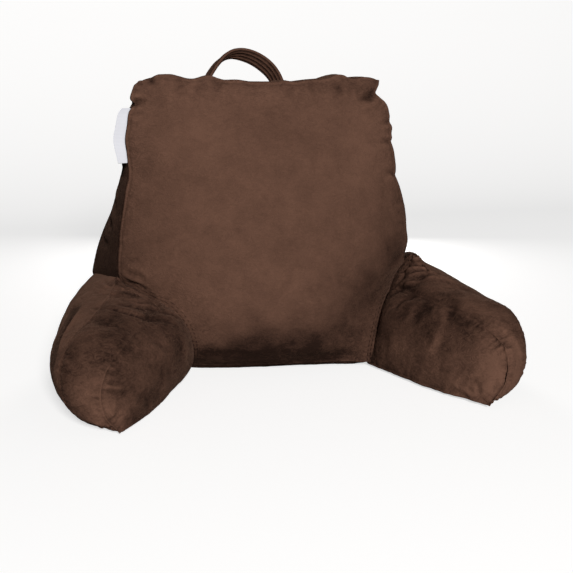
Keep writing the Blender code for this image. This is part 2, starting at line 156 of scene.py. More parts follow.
ARM_LEFT = {
    "outer_crown": 0.018,
    "root_inner": ((0.0, 0.1185, -0.064, 0.004), (0.35, 0.121, -0.088, 0.040),
                   (0.7, 0.129, -0.078, 0.070), (1.0, 0.150, -0.045, 0.094)),
    "root_strip": ((0.0, 0.150, -0.045, 0.094), (0.5, 0.184, -0.016, 0.112), (1.0, 0.211, 0.000, 0.124)),
    "root_outer": ((0.0, 0.192, 0.135, 0.004), (0.35, 0.216, 0.139, 0.052),
                   (0.62, 0.238, 0.128, 0.100), (1.0, 0.211, 0.000, 0.124)),
    "strip": (
        (0.00, 0.150, -0.045, 0.094, 0.211, 0.000, 0.124),
        (0.22, 0.161, -0.092, 0.099, 0.221, -0.060, 0.118),
        (0.45, 0.182, -0.146, 0.099, 0.238, -0.118, 0.112),
        (0.65, 0.203, -0.194, 0.096, 0.257, -0.166, 0.105),
        (0.83, 0.221, -0.236, 0.090, 0.275, -0.204, 0.099),
        (1.00, 0.238, -0.263, 0.077, 0.289, -0.232, 0.082),
        (1.30, 0.249, -0.277, 0.055, 0.294, -0.248, 0.057),
        (1.65, 0.247, -0.284, 0.028, 0.286, -0.254, 0.030),
        (2.00, 0.230, -0.284, 0.004, 0.267, -0.245, 0.010),
    ),
    "base": (
        (0.00, 0.1185, -0.064, 0.192, 0.135),
        (0.30, 0.150, -0.140, 0.234, 0.060),
        (0.60, 0.177, -0.201, 0.268, -0.040),
        (0.85, 0.206, -0.252, 0.284, -0.150),
        (1.00, 0.230, -0.284, 0.267, -0.245),
    ),
    "folds": (
        (0.02, 1.00, 0.06, 0.20, 0.010, 0.008),
        (0.14, 0.95, 0.16, 0.10, 0.011, 0.010),
        (0.28, 0.90, 0.33, 0.12, 0.012, 0.007),
        (0.62, 0.95, 0.70, 0.55, 0.012, 0.004),
    ),
}

# columns: share of its run, x, z, and how far it is twisted, in degrees
STRAP_RUN = (
    (0.00, -0.0700, 0.376, 8.0),
    (0.12, -0.0603, 0.3965, 6.0),
    (0.25, -0.0475, 0.4130, -2.0),
    (0.40, -0.0305, 0.4240, -24.0),
    (0.52, -0.0140, 0.4250, -42.0),
    (0.65, 0.0045, 0.4195, -52.0),
    (0.78, 0.0215, 0.4090, -55.0),
    (0.90, 0.0340, 0.3960, -46.0),
    (1.00, 0.0440, 0.3780, -34.0),
)
STRAP_WIDTH = 0.024
STRAP_THICK = 0.0056
STRAP_Y = 0.094

TAPE_LOW_Z = 0.279
TAPE_HIGH_Z = 0.353
TAPE_REACH = 0.013
TAPE_THICK = 0.0022
TAPE_BOW = 0.003
TAPE_LEAN = 0.003

# ---------------------------------------------------------------- how the pieces are sewn and filled

# Lattice cells of the simulated cloth: across, front to rear, up; and along, across, up for an arm
BACK_CELLS = (84, 30, 81)
ARM_CELLS = (76, 28, 40)
ARM_ROOT_CELLS = 4         # of an arm's cells along, those inside the backrest
CROWDING = 0.5             # how much closer the lattice's rows stand at the seams than in the middle

# Seams, as the lattice edges that they follow: axis and end, axis and end, then how deep and how far the
# seam gathers the cloth beside it, the gathers' spacing, and the height of the seam's own ridge
SEAM_COLUMNS = ("axis_a", "end_a", "axis_b", "end_b", "depth", "reach", "pitch", "ridge")
BACK_SEAMS = (
    (0, 0, 1, 0, 0.0012, 0.016, 0.0135, 0.0009),
    (0, 1, 1, 0, 0.0016, 0.018, 0.0150, 0.0009),
    (0, 0, 1, 1, 0.0016, 0.018, 0.0140, 0.0009),
    (0, 1, 1, 1, 0.0016, 0.018, 0.0140, 0.0009),
    (1, 0, 2, 1, 0.0015, 0.015, 0.0170, 0.0009),
    (1, 1, 2, 1, 0.0015, 0.015, 0.0170, 0.0009),
    (0, 0, 2, 1, 0.0014, 0.014, 0.0120, 0.0006),
    (0, 1, 2, 1, 0.0014, 0.014, 0.0120, 0.0006),
    (1, 0, 2, 0, 0.0007, 0.014, 0.0160, 0.0007),
    (1, 1, 2, 0, 0.0010, 0.016, 0.0160, 0.0007),
)
ARM_SEAMS = (
    (1, 0, 2, 1, 0.0011, 0.014, 0.0110, 0.0005),
    (1, 1, 2, 1, 0.0011, 0.014, 0.0110, 0.0006),
    (0, 1, 1, 0, 0.0022, 0.014, 0.0080, 0.0009),
    (0, 1, 1, 1, 0.0022, 0.014, 0.0085, 0.0009),
    (1, 0, 2, 0, 0.0008, 0.014, 0.0150, 0.0006),
    (1, 1, 2, 0, 0.0010, 0.014, 0.0150, 0.0006),
    (0, 1, 2, 0, 0.0014, 0.016, 0.0090, 0.0006),
)
RIDGE_WIDTH = 0.0011
GROOVE_SHARE = 0.9         # the grooves beside a seam, as a share of its ridge
GROOVE_AWAY = 0.0034
GROOVE_WIDTH = 0.0022

# Folds and tucks of the cloth, each a curve through three points; then its width, its depth, and how much
# of that depth stands up as a lip on one side (the sign says which)
BACK_FOLDS = (
    # top left pocket and side notches
    ((-0.156, 0.040, 0.393), (-0.153, 0.030, 0.392), (-0.148, 0.022, 0.383), 0.0040, 0.0040, 0.5),
    ((-0.180, 0.030, 0.360), (-0.172, 0.021, 0.359), (-0.160, 0.018, 0.366), 0.0040, 0.0045, 0.7),
    ((-0.183, 0.019, 0.348), (-0.174, 0.016, 0.346), (-0.165, 0.015, 0.348), 0.0035, 0.0016, -0.6),
    # soft tucks that run down from the top seam
    ((-0.111, 0.024, 0.394), (-0.115, 0.017, 0.382), (-0.112, 0.012, 0.368), 0.0060, 0.0022, 0.5),
    ((-0.081, 0.024, 0.388), (-0.086, 0.019, 0.379), (-0.090, 0.011, 0.366), 0.0055, 0.0020, -0.6),
    ((-0.056, 0.025, 0.388), (-0.059, 0.022, 0.383), (-0.067, 0.013, 0.372), 0.0045, 0.0020, 0.7),
    ((0.045, 0.024, 0.386), (0.041, 0.016, 0.377), (0.036, 0.006, 0.360), 0.0050, 0.0016, 0.6),
    ((0.074, 0.024, 0.387), (0.072, 0.017, 0.379), (0.075, 0.009, 0.366), 0.0050, 0.0015, -0.6),
    ((0.108, 0.025, 0.392), (0.111, 0.017, 0.379), (0.107, 0.010, 0.364), 0.0055, 0.0020, 0.6),
    ((0.140, 0.026, 0.391), (0.141, 0.018, 0.380), (0.146, 0.013, 0.367), 0.0055, 0.0014, -0.6),
    # the ear at the top right, and overlaps down the right seam
    ((0.171, 0.022, 0.371), (0.158, 0.017, 0.366), (0.138, 0.012, 0.357), 0.0055, 0.0042, 0.6),
    ((0.193, 0.018, 0.333), (0.185, 0.016, 0.329), (0.172, 0.010, 0.325), 0.0035, 0.0024, 0.8),
    ((0.194, 0.015, 0.299), (0.186, 0.010, 0.303), (0.172, 0.003, 0.303), 0.0032, 0.0020, -0.8),
    ((0.203, 0.011, 0.250), (0.192, 0.005, 0.256), (0.175, -0.006, 0.256), 0.0036, 0.0024, 0.8),
    ((0.207, 0.011, 0.219), (0.201, 0.008, 0.217), (0.183, -0.009, 0.214), 0.0036, 0.0018, 0.7),
    ((0.210, 0.010, 0.180), (0.201, 0.001, 0.182), (0.184, -0.014, 0.182), 0.0036, 0.0018, -0.7),
    # beside the joins with the arms
    ((-0.204, -0.004, 0.121), (-0.188, -0.018, 0.118), (-0.164, -0.036, 0.110), 0.0030, 0.0034, 0.6),
    ((-0.201, -0.008, 0.133), (-0.188, -0.023, 0.131), (-0.170, -0.038, 0.123), 0.0040, 0.0018, 0.6),
    ((-0.199, -0.010, 0.148), (-0.190, -0.020, 0.149), (-0.176, -0.033, 0.147), 0.0040, 0.0014, -0.6),
    ((0.205, -0.008, 0.140), (0.190, -0.024, 0.136), (0.172, -0.040, 0.126), 0.0060, 0.0022, 0.4),
    ((0.185, -0.035, 0.108), (0.168, -0.055, 0.099), (0.155, -0.068, 0.084), 0.0050, 0.0018, 0.5),
    # along the bottom, where the filling sags over the base seam
    ((-0.116, -0.097, 0.034), (-0.057, -0.106, 0.028), (0.000, -0.103, 0.023), 0.0080, 0.0020, 0.2),
    ((-0.020, -0.103, 0.024), (0.056, -0.100, 0.020), (0.118, -0.096, 0.019), 0.0080, 0.0020, 0.2),
    # slanted tucks of the left gusset
    ((-0.196, 0.090, 0.240), (-0.203, 0.073, 0.221), (-0.203, 0.040, 0.212), 0.0050, 0.0026, 0.7),
    ((-0.209, 0.100, 0.206), (-0.209, 0.075, 0.190), (-0.208, 0.040, 0.182), 0.0050, 0.0026, 0.7),
    ((-0.222, 0.110, 0.176), (-0.220, 0.080, 0.160), (-0.214, 0.045, 0.154), 0.0055, 0.0028, 0.7),
    ((-0.190, 0.095, 0.275), (-0.196, 0.070, 0.262), (-0.196, 0.040, 0.256), 0.0050, 0.0020, 0.7),
    ((-0.180, 0.090, 0.330), (-0.188, 0.065, 0.318), (-0.190, 0.040, 0.314), 0.0055, 0.0020, 0.7),
    ((0.222, 0.110, 0.176), (0.220, 0.080, 0.160), (0.214, 0.045, 0.154), 0.0055, 0.0028, 0.7),
    ((0.209, 0.100, 0.206), (0.209, 0.075, 0.195), (0.208, 0.040, 0.190), 0.0050, 0.0024, 0.7),
    ((0.196, 0.095, 0.262), (0.200, 0.070, 0.252), (0.202, 0.040, 0.250), 0.0050, 0.0024, 0.7),
    ((0.184, 0.090, 0.310), (0.190, 0.065, 0.303), (0.194, 0.040, 0.304), 0.0050, 0.0022, 0.7),
)
LEFT_FOLDS = (
    # deep folds where the arm is sewn in, and the softer ones below them
    ((-0.216, -0.044, 0.118), (-0.194, -0.074, 0.113), (-0.164, -0.070, 0.100), 0.0028, 0.0050, 0.6),
    ((-0.212, -0.024, 0.119), (-0.190, -0.044, 0.114), (-0.166, -0.044, 0.103), 0.0024, 0.0030, -0.7),
    ((-0.218, -0.098, 0.116), (-0.194, -0.106, 0.108), (-0.158, -0.104, 0.095), 0.0024, 0.0052, 0.7),
    ((-0.216, -0.084, 0.117), (-0.192, -0.090, 0.111), (-0.160, -0.087, 0.099), 0.0030, -0.0024, 0.0),
    ((-0.222, -0.122, 0.115), (-0.200, -0.128, 0.109), (-0.172, -0.122, 0.099), 0.0022, 0.0022, 0.7),
    ((-0.246, -0.120, 0.111), (-0.206, -0.150, 0.109), (-0.170, -0.142, 0.095), 0.0040, 0.0034, 0.5),
    ((-0.182, -0.143, 0.100), (-0.164, -0.138, 0.094), (-0.143, -0.126, 0.082), 0.0055, 0.0022, 0.5),
    ((-0.168, -0.112, 0.099), (-0.152, -0.106, 0.093), (-0.136, -0.098, 0.080), 0.0040, 0.0024, 0.6),
    # small pleats on top, behind the outer seam
    ((-0.238, 0.006, 0.114), (-0.233, -0.032, 0.116), (-0.225, -0.048, 0.118), 0.0038, 0.0026, 0.7),
    ((-0.226, 0.020, 0.117), (-0.225, -0.016, 0.118), (-0.219, -0.035, 0.119), 0.0036, 0.0024, -0.7),
    ((-0.247, -0.020, 0.110), (-0.241, -0.046, 0.114), (-0.232, -0.062, 0.115), 0.0040, 0.0022, 0.7),
    # the outer panel's tuck at the arm's outline
    ((-0.264, -0.084, 0.107), (-0.273, -0.071, 0.101), (-0.283, -0.090, 0.091), 0.0048, 0.0050, 0.8),
    ((-0.262, -0.086, 0.1065), (-0.283, -0.150, 0.0955), (-0.296, -0.216, 0.076), 0.0030, 0.0030, 0.8),
    # cross-wise gathers at the end, inside the inner seam
    ((-0.244, -0.268, 0.070), (-0.234, -0.264, 0.070), (-0.222, -0.257, 0.066), 0.0030, 0.0018, 0.7),
    ((-0.246, -0.273, 0.060), (-0.234, -0.268, 0.059), (-0.220, -0.260, 0.053), 0.0030, 0.0018, -0.7),
    ((-0.247, -0.276, 0.049), (-0.231, -0.269, 0.048), (-0.213, -0.257, 0.040), 0.0032, 0.0020, 0.7),
    ((-0.248, -0.281, 0.026), (-0.240, -0.279, 0.020), (-0.229, -0.276, 0.020), 0.0034, 0.0024, 0.7),
    ((-0.264, -0.268, 0.016), (-0.252, -0.278, 0.010), (-0.238, -0.281, 0.008), 0.0034, 0.0024, 0.7),
    # long soft hollows of the inner panel
    ((-0.219, -0.252, 0.046), (-0.197, -0.238, 0.030), (-0.175, -0.200, 0.014), 0.0090, 0.0022, 0.4),
    ((-0.214, -0.232, 0.086), (-0.199, -0.221, 0.077), (-0.183, -0.211, 0.062), 0.0060, 0.0016, 0.5),
    ((-0.186, -0.193, 0.086), (-0.172, -0.186, 0.075), (-0.163, -0.184, 0.058), 0.0060, 0.0014, -0.5),
)
RIGHT_FOLDS = (
    # fine pleats on top where the arm is sewn in
    ((0.208, -0.004, 0.126), (0.217, -0.016, 0.132), (0.226, -0.024, 0.1345), 0.0022, 0.0026, 0.8),
    ((0.206, -0.006, 0.121), (0.216, -0.026, 0.130), (0.228, -0.034, 0.1325), 0.0024, 0.0030, 0.8),
    ((0.198, -0.010, 0.108), (0.213, -0.035, 0.125), (0.236, -0.044, 0.128), 0.0028, 0.0042, -0.8),
    ((0.199, -0.040, 0.111), (0.219, -0.051, 0.122), (0.243, -0.052, 0.1215), 0.0024, 0.0032, -0.6),
    ((0.196, -0.044, 0.108), (0.219, -0.064, 0.119), (0.246, -0.064, 0.118), 0.0024, 0.0026, 0.5),
    ((0.180, -0.036, 0.096), (0.201, -0.061, 0.111), (0.228, -0.074, 0.117), 0.0034, 0.0036, -0.6),
    ((0.205, -0.076, 0.110), (0.228, -0.084, 0.118), (0.255, -0.078, 0.115), 0.0030, -0.0022, 0.0),
    ((0.206, -0.092, 0.111), (0.230, -0.096, 0.115), (0.257, -0.098, 0.111), 0.0030, 0.0030, -0.6),
    ((0.224, -0.122, 0.111), (0.245, -0.120, 0.110), (0.262, -0.128, 0.106), 0.0034, 0.0022, 0.6),
    # broad folds below them, from the join across the inner seam
    ((0.168, -0.044, 0.082), (0.189, -0.056, 0.097), (0.204, -0.086, 0.106), 0.0046, 0.0042, 0.6),
    ((0.160, -0.088, 0.074), (0.178, -0.092, 0.090), (0.193, -0.108, 0.099), 0.0060, 0.0030, -0.6),
    ((0.168, -0.148, 0.068), (0.182, -0.143, 0.086), (0.199, -0.150, 0.096), 0.0085, 0.0034, 0.4),
    ((0.218, -0.156, 0.103), (0.213, -0.181, 0.096), (0.204, -0.200, 0.080), 0.0080, 0.0028, 0.4),
    ((0.190, -0.186, 0.074), (0.181, -0.197, 0.056), (0.175, -0.203, 0.042), 0.0060, -0.0020, 0.0),
    ((0.148, -0.110, 0.050), (0.152, -0.120, 0.034), (0.150, -0.128, 0.018), 0.0065, 0.0018, 0.5),
    # round the end
    ((0.246, -0.240, 0.083), (0.252, -0.251, 0.079), (0.264, -0.249, 0.079), 0.0034, 0.0026, 0.8),
    ((0.246, -0.257, 0.073), (0.253, -0.262, 0.069), (0.268, -0.256, 0.070), 0.0034, 0.0024, -0.8),
    # fanning out from the bottom corner
    ((0.211, -0.290, 0.008), (0.203, -0.272, 0.015), (0.192, -0.250, 0.022), 0.0042, 0.0026, 0.7),
    ((0.206, -0.284, 0.006), (0.196, -0.264, 0.009), (0.182, -0.240, 0.011), 0.0042, 0.0024, -0.7),
    ((0.214, -0.290, 0.012), (0.209, -0.277, 0.020), (0.207, -0.264, 0.032), 0.0040, 0.0022, 0.7),
    ((0.232, -0.284, 0.018), (0.226, -0.288, 0.030), (0.226, -0.284, 0.042), 0.0038, 0.0018, 0.7),
    ((0.192, -0.252, 0.022), (0.202, -0.262, 0.026), (0.212, -0.270, 0.027), 0.0050, 0.0014, 0.5),
)
FOLD_STEPS = 14            # straight pieces that a fold's curve is measured by

# Patches of painted light and painted shade on the pile: the middle of a patch, its reach along x, y and z,
# and how much lighter it is
BACK_PAINTED_LIGHT = (
    # painted shade where the front rolls under, in the hollows beside the arms and along the sides, with one
    # painted lighter spot low at the right
    ((-0.015, -0.104, 0.024), (0.135, 0.080, 0.042), -0.95),
    ((0.178, -0.033, 0.146), (0.034, 0.060, 0.048), -0.40),
    ((0.130, -0.074, 0.096), (0.062, 0.060, 0.042), -0.46),
    ((0.192, -0.012, 0.112), (0.020, 0.060, 0.030), -0.20),
    ((0.098, -0.099, 0.070), (0.060, 0.060, 0.022), -0.12),
    ((0.144, -0.086, 0.046), (0.018, 0.050, 0.034), 0.22),
    ((-0.216, 0.078, 0.135), (0.030, 0.060, 0.050), -0.44),
    ((0.203, 0.004, 0.230), (0.016, 0.040, 0.100), -0.22),
    # painted shade: a darker band under the top seam at the right, and its corner
    ((0.112, 0.018, 0.379), (0.048, 0.040, 0.009), -0.28),
    ((0.160, 0.018, 0.366), (0.012, 0.040, 0.020), -0.25),
    # lighter patches on the front and low at the left
    ((-0.088, -0.015, 0.318), (0.042, 0.060, 0.036), 0.14),
    ((-0.090, -0.055, 0.210), (0.036, 0.060, 0.030), 0.08),
    ((0.145, -0.020, 0.290), (0.040, 0.060, 0.050), 0.18),
    ((-0.120, -0.050, 0.110), (0.050, 0.060, 0.030), 0.06),
)
LEFT_PAINTED_LIGHT = (
    # the end and the outer edge catch light
    ((-0.264, -0.272, 0.044), (0.040, 0.034, 0.032), 0.24),
    ((-0.228, -0.276, 0.024), (0.034, 0.026, 0.020), 0.36),
    ((-0.216, -0.020, 0.117), (0.016, 0.022, 0.012), 0.16),
    # painted shade: dark patches of the boxing strip and the inner panel
    ((-0.170, -0.125, 0.098), (0.026, 0.030, 0.018), -0.30),
    ((-0.234, -0.180, 0.106), (0.022, 0.034, 0.020), -0.22),
    ((-0.236, -0.232, 0.098), (0.018, 0.014, 0.016), -0.14),
    ((-0.247, -0.252, 0.088), (0.016, 0.012, 0.010), -0.12),
    ((-0.226, -0.263, 0.062), (0.014, 0.016, 0.014), -0.14),
    ((-0.200, -0.246, 0.016), (0.022, 0.024, 0.012), -0.20),
    ((-0.138, -0.146, 0.058), (0.028, 0.046, 0.032), -0.18),
    ((-0.285, -0.150, 0.030), (0.040, 0.090, 0.030), -0.30),
)
RIGHT_PAINTED_LIGHT = (
    # the end and the lower side catch light
    ((0.244, -0.274, 0.042), (0.042, 0.036, 0.046), 0.62),
    ((0.203, -0.266, 0.018), (0.030, 0.034, 0.022), 0.30),
    ((0.168, -0.205, 0.018), (0.040, 0.050, 0.018), 0.30),
    ((0.154, -0.152, 0.036), (0.024, 0.036, 0.018), 0.12),
    ((0.244, -0.214, 0.097), (0.018, 0.040, 0.014), 0.26),
    ((0.251, -0.246, 0.078), (0.018, 0.016, 0.014), 0.18),
    ((0.198, -0.188, 0.080), (0.010, 0.008, 0.014), 0.16),
    ((0.182, -0.203, 0.056), (0.010, 0.006, 0.016), 0.18),
    # painted shade in dark patches, and a painted highlight along the top
    ((0.188, -0.130, 0.088), (0.022, 0.034, 0.016), -0.30),
    ((0.184, -0.190, 0.066), (0.016, 0.022, 0.018), -0.14),
    ((0.200, -0.070, 0.108), (0.022, 0.026, 0.014), -0.14),
    ((0.215, -0.219, 0.078), (0.018, 0.022, 0.020), -0.22),
    ((0.186, -0.217, 0.048), (0.014, 0.014, 0.016), -0.12),
    ((0.230, -0.108, 0.111), (0.026, 0.060, 0.012), 0.14),
)
# Long lines of painted shade and painted highlight, each along a curve through three points; then its width and
# how much lighter it is
BACK_PAINTED_STREAKS = (
    # a painted shade line along the left join
    ((-0.203, -0.010, 0.116), (-0.186, -0.026, 0.112), (-0.160, -0.046, 0.101), 0.0040, -0.42),
)
LEFT_PAINTED_STREAKS = (
    # a painted shadow along the outer panel's tuck, a painted highlight along the top, and painted shade at the
    # root
    ((-0.264, -0.078, 0.105), (-0.289, -0.148, 0.091), (-0.302, -0.220, 0.067), 0.0085, -0.95),
    ((-0.216, -0.022, 0.119), (-0.217, -0.062, 0.117), (-0.236, -0.104, 0.112), 0.0040, 0.24),
    ((-0.222, -0.006, 0.118), (-0.216, -0.020, 0.119), (-0.222, -0.030, 0.118), 0.0080, -0.30),
)
RIGHT_PAINTED_STREAKS = (
    # painted highlights along the folds and down round the end
    ((0.206, -0.166, 0.096), (0.197, -0.188, 0.080), (0.182, -0.204, 0.054), 0.0050, 0.20),
    ((0.196, -0.017, 0.108), (0.209, -0.030, 0.120), (0.230, -0.054, 0.125), 0.0024, 0.26),
    ((0.218, -0.002, 0.134), (0.230, -0.056, 0.125), (0.256, -0.100, 0.111), 0.0060, 0.30),
    ((0.248, -0.240, 0.084), (0.266, -0.270, 0.050), (0.242, -0.292, 0.008), 0.0070, 0.34),
)
# Pleats round an arm's top where it is sewn on: their spacing, depth and length
LEFT_PLEATS = (0.0085, 0.0010, 0.016)
RIGHT_PLEATS = (0.0064, 0.0010, 0.018)
STRIP_WIDE = 0.045         # an arm's boxing strip there, and the height of its sides
SIDE_HIGH = 0.100
PLEATS_DOWN = 0.035        # how far down the sides the pleats reach
STITCH_REACH = 0.012       # the stitches are laid out over this distance from a join

PATCH_DRIFT = 0.28         # how uneven the edges of such a patch are
FOLD_SHADE_DEPTH = 0.010        # painted shade: a fold this deep is painted darker by the whole range of the velvet's tones, and a seam ridge is painted lighter by the same measure
# What each piece is dressed with: the panels painted darker or lighter as painted shade and painted light
# (lattice axis, end, how much lighter), its tone, lower on the arms as painted shade, how mottled it is, how
# uneven its filling leaves it, and how ruffled its pile is away from the seams
BACK_LOOKS = {"seams": BACK_SEAMS, "folds": BACK_FOLDS, "painted_patches": BACK_PAINTED_LIGHT,
              "panels": ((0, 0, -0.64), (0, 1, -0.45), (2, 1, -0.20)), "painted_streaks": BACK_PAINTED_STREAKS, "pleats": None,
              "tone": 0.80, "mottle": 0.11, "crumple": 0.8, "ruffled": 0.35}
LEFT_LOOKS = {"seams": ARM_SEAMS, "folds": LEFT_FOLDS, "painted_patches": LEFT_PAINTED_LIGHT,
              "panels": ((1, 1, 0.36),), "painted_streaks": LEFT_PAINTED_STREAKS, "pleats": LEFT_PLEATS,
              "tone": 0.48, "mottle": 0.24, "crumple": 1.5, "ruffled": 1.0}
RIGHT_LOOKS = {"seams": ARM_SEAMS, "folds": RIGHT_FOLDS, "painted_patches": RIGHT_PAINTED_LIGHT,
               "panels": (), "painted_streaks": RIGHT_PAINTED_STREAKS, "pleats": RIGHT_PLEATS,
               "tone": 0.48, "mottle": 0.24, "crumple": 1.5, "ruffled": 1.0}
RUFFLED_REACH = 0.035      # how far beside a seam or a join the pile is ruffled
JOIN_DEPTH = 0.0005        # how far a sewn-on arm and the backrest are drawn in where they meet
JOIN_REACH = 0.0050
JOIN_SHADE = 0.05          # painted shade beside such a join: how much darker the pile is painted there
JOIN_SHADE_REACH = 0.018
JOIN_FAR = 0.060

# Cloth that fills the pieces
FILL_FRAMES = 20
FILL_PRESSURE = 3.0
FILL_CAP = 0.006           # furthest that a point may move
SLACK = 0.05               # how much larger the cloth is cut than the seam that gathers it
SLACK_REACH = 0.030

# The velvet's tones run from the deep colour to the lit one; the stored tones lay painted shade and painted
# highlights between them, as well as random mottling.
VELVET_HEX = "664A3D"
VELVET_DEEP_HEX = "281B16"
TAPE_HEX = "D9DBE3"
FLOOR_HEX = "C8C8C8"

# The photograph's camera
FRAME_PIXELS = 573
FOCAL_PIXELS = 966.0
SENSOR_MM = 36.0
CAMERA_AIM = Vector((0.0319, 0.0, 0.0969))
CAMERA_AWAY = 1.4
CAMERA_AZIMUTH = math.radians(-13.5)
CAMERA_RISE = math.radians(13.0)


def linear(hex_colour):
    """An sRGB hex colour as linear red, green and blue."""
    parts = [int(hex_colour[at:at + 2], 16) / 255.0 for at in (0, 2, 4)]
    return tuple(part / 12.92 if part <= 0.04045 else ((part + 0.055) / 1.055) ** 2.4 for part in parts)


# ---------------------------------------------------------------- forms, as in the solids

def smooth_row(rows, at):
    """Read a table between its rows on a smooth curve; the first column says where each row stands."""
    last = len(rows) - 1
    low = max(index for index in range(last) if rows[index][0] <= at or index == 0)
    span = rows[low + 1][0] - rows[low][0]
    t = min(max((at - rows[low][0]) / span, 0.0), 1.0)

    def slope(index, column):
        before, after = rows[max(index - 1, 0)], rows[min(index + 1, last)]
        return (after[column] - before[column]) / (after[0] - before[0]) * span

    values = []
    for column in range(1, len(rows[0])):
        a, b = rows[low][column], rows[low + 1][column]
        slope_a, slope_b = slope(low, column), slope(low + 1, column)
        values.append((2 * t ** 3 - 3 * t ** 2 + 1) * a + (t ** 3 - 2 * t ** 2 + t) * slope_a
                      + (3 * t ** 2 - 2 * t ** 3) * b + (t ** 3 - t ** 2) * slope_b)
    return values


def dome(t, roundness=2.4, fullness=0.8):
    """A crown's profile across a panel: nothing at the seams (0 and 1), one in the middle."""
    return max(0.0, 1.0 - abs(2.0 * t - 1.0) ** roundness) ** fullness


def plane_x(y, z):
    """The x of the backrest's lower side at a depth and height, from its three sewn corners."""
    normal = (REAR_CORNER - FRONT_CORNER).cross(SEAT_CORNER - FRONT_CORNER)
    return FRONT_CORNER.x - (normal.y * (y - FRONT_CORNER.y) + normal.z * (z - FRONT_CORNER.z)) / normal.x


def foot_share(row):
    """How much of the slant of the backrest's foot reaches a row."""
    return max(0.0, 1.0 - row / BASE_SKEW_ROWS) ** 2


def back_row(row, side):
    """The backrest's seams and middle lines at a row, with the side's tucks."""
    rows = BACK_LOWER if row < CORNER_ROW else BACK_UPPER
    if rows is BACK_LOWER:
        rows = [(r[0], plane_x(r[2], r[3]), r[2], r[3], plane_x(r[5], r[6]), *r[5:]) for r in rows]
    line = dict(zip(BACK_COLUMNS[1:], smooth_row(rows, row)))
    if row < CORNER_ROW:
        if side < 0:
            line["front_y"] += LEFT_FOOT_BACK * foot_share(row)
        line["front_x"] = plane_x(line["front_y"], line["front_z"])
        line["rear_x"] = plane_x(line["rear_y"], line["rear_z"])
    tucks = LEFT_TUCKS if side < 0 else RIGHT_TUCKS
    tuck = sum(depth * math.exp(-((line["front_z"] - z) / reach) ** 2) for z, reach, depth in tucks)
    line["front_x"] -= tuck
    line["rear_x"] -= REAR_TUCK * tuck
    return line


def back_surface(across, depth, row):
    """A point of the backrest: across from -1 to 1, depth from 0 (front) to 1 (rear), row upwards."""
    line = back_row(row, across)
    share = dome(0.5 + 0.5 * across, fullness=0.9)
    front = Vector((across * line["front_x"],
                    line["front_y"] + (line["front_mid_y"] - line["front_y"]) * share,
                    line["front_z"] + (line["front_mid_z"] - line["front_z"]) * share))
    rear = Vector((across * line["rear_x"],
                   line["rear_y"] + (line["rear_mid_y"] - line["rear_y"]) * share,
                   line["rear_z"] + (line["rear_mid_z"] - line["rear_z"]) * share))
    front.y -= BASE_SKEW * across * foot_share(row)
    place = front.lerp(rear, depth)
    fade = max(0.0, (row - TOP_BUMP_ROW) / (BACK_ROWS - TOP_BUMP_ROW)) ** 1.5
    bump = sum(rise * math.exp(-((across - middle) / reach) ** 2) for middle, reach, rise in TOP_BUMPS)
    place.z += bump * fade * (1.0 + (REAR_BUMP - 1.0) * depth)
    puff = dome(depth)
    if abs(across) == 1 and row > CORNER_ROW:
        rise = dome((row - CORNER_ROW) / (BACK_ROWS - CORNER_ROW))
        place.x += math.copysign(GUSSET_CROWN * puff * rise, across)
    if row == BACK_ROWS:
        place.z += TOP_CROWN * puff * dome(0.5 + 0.5 * across, roundness=8.0)
    if row == 0:
        floor = min(1.0, 12.0 * min(depth, 1.0 - depth, 0.5 - 0.5 * abs(across)))
        place.z *= 1.0 - floor
    return place


def patch(low, high, start, end, a, b):
    """A panel stretched between four seams: low and high run along a, start and end along b."""
    ruled = low(a).lerp(high(a), b) + start(b).lerp(end(b), a)
    corners = low(0).lerp(low(1), a).lerp(high(0).lerp(high(1), a), b)
    return ruled - corners


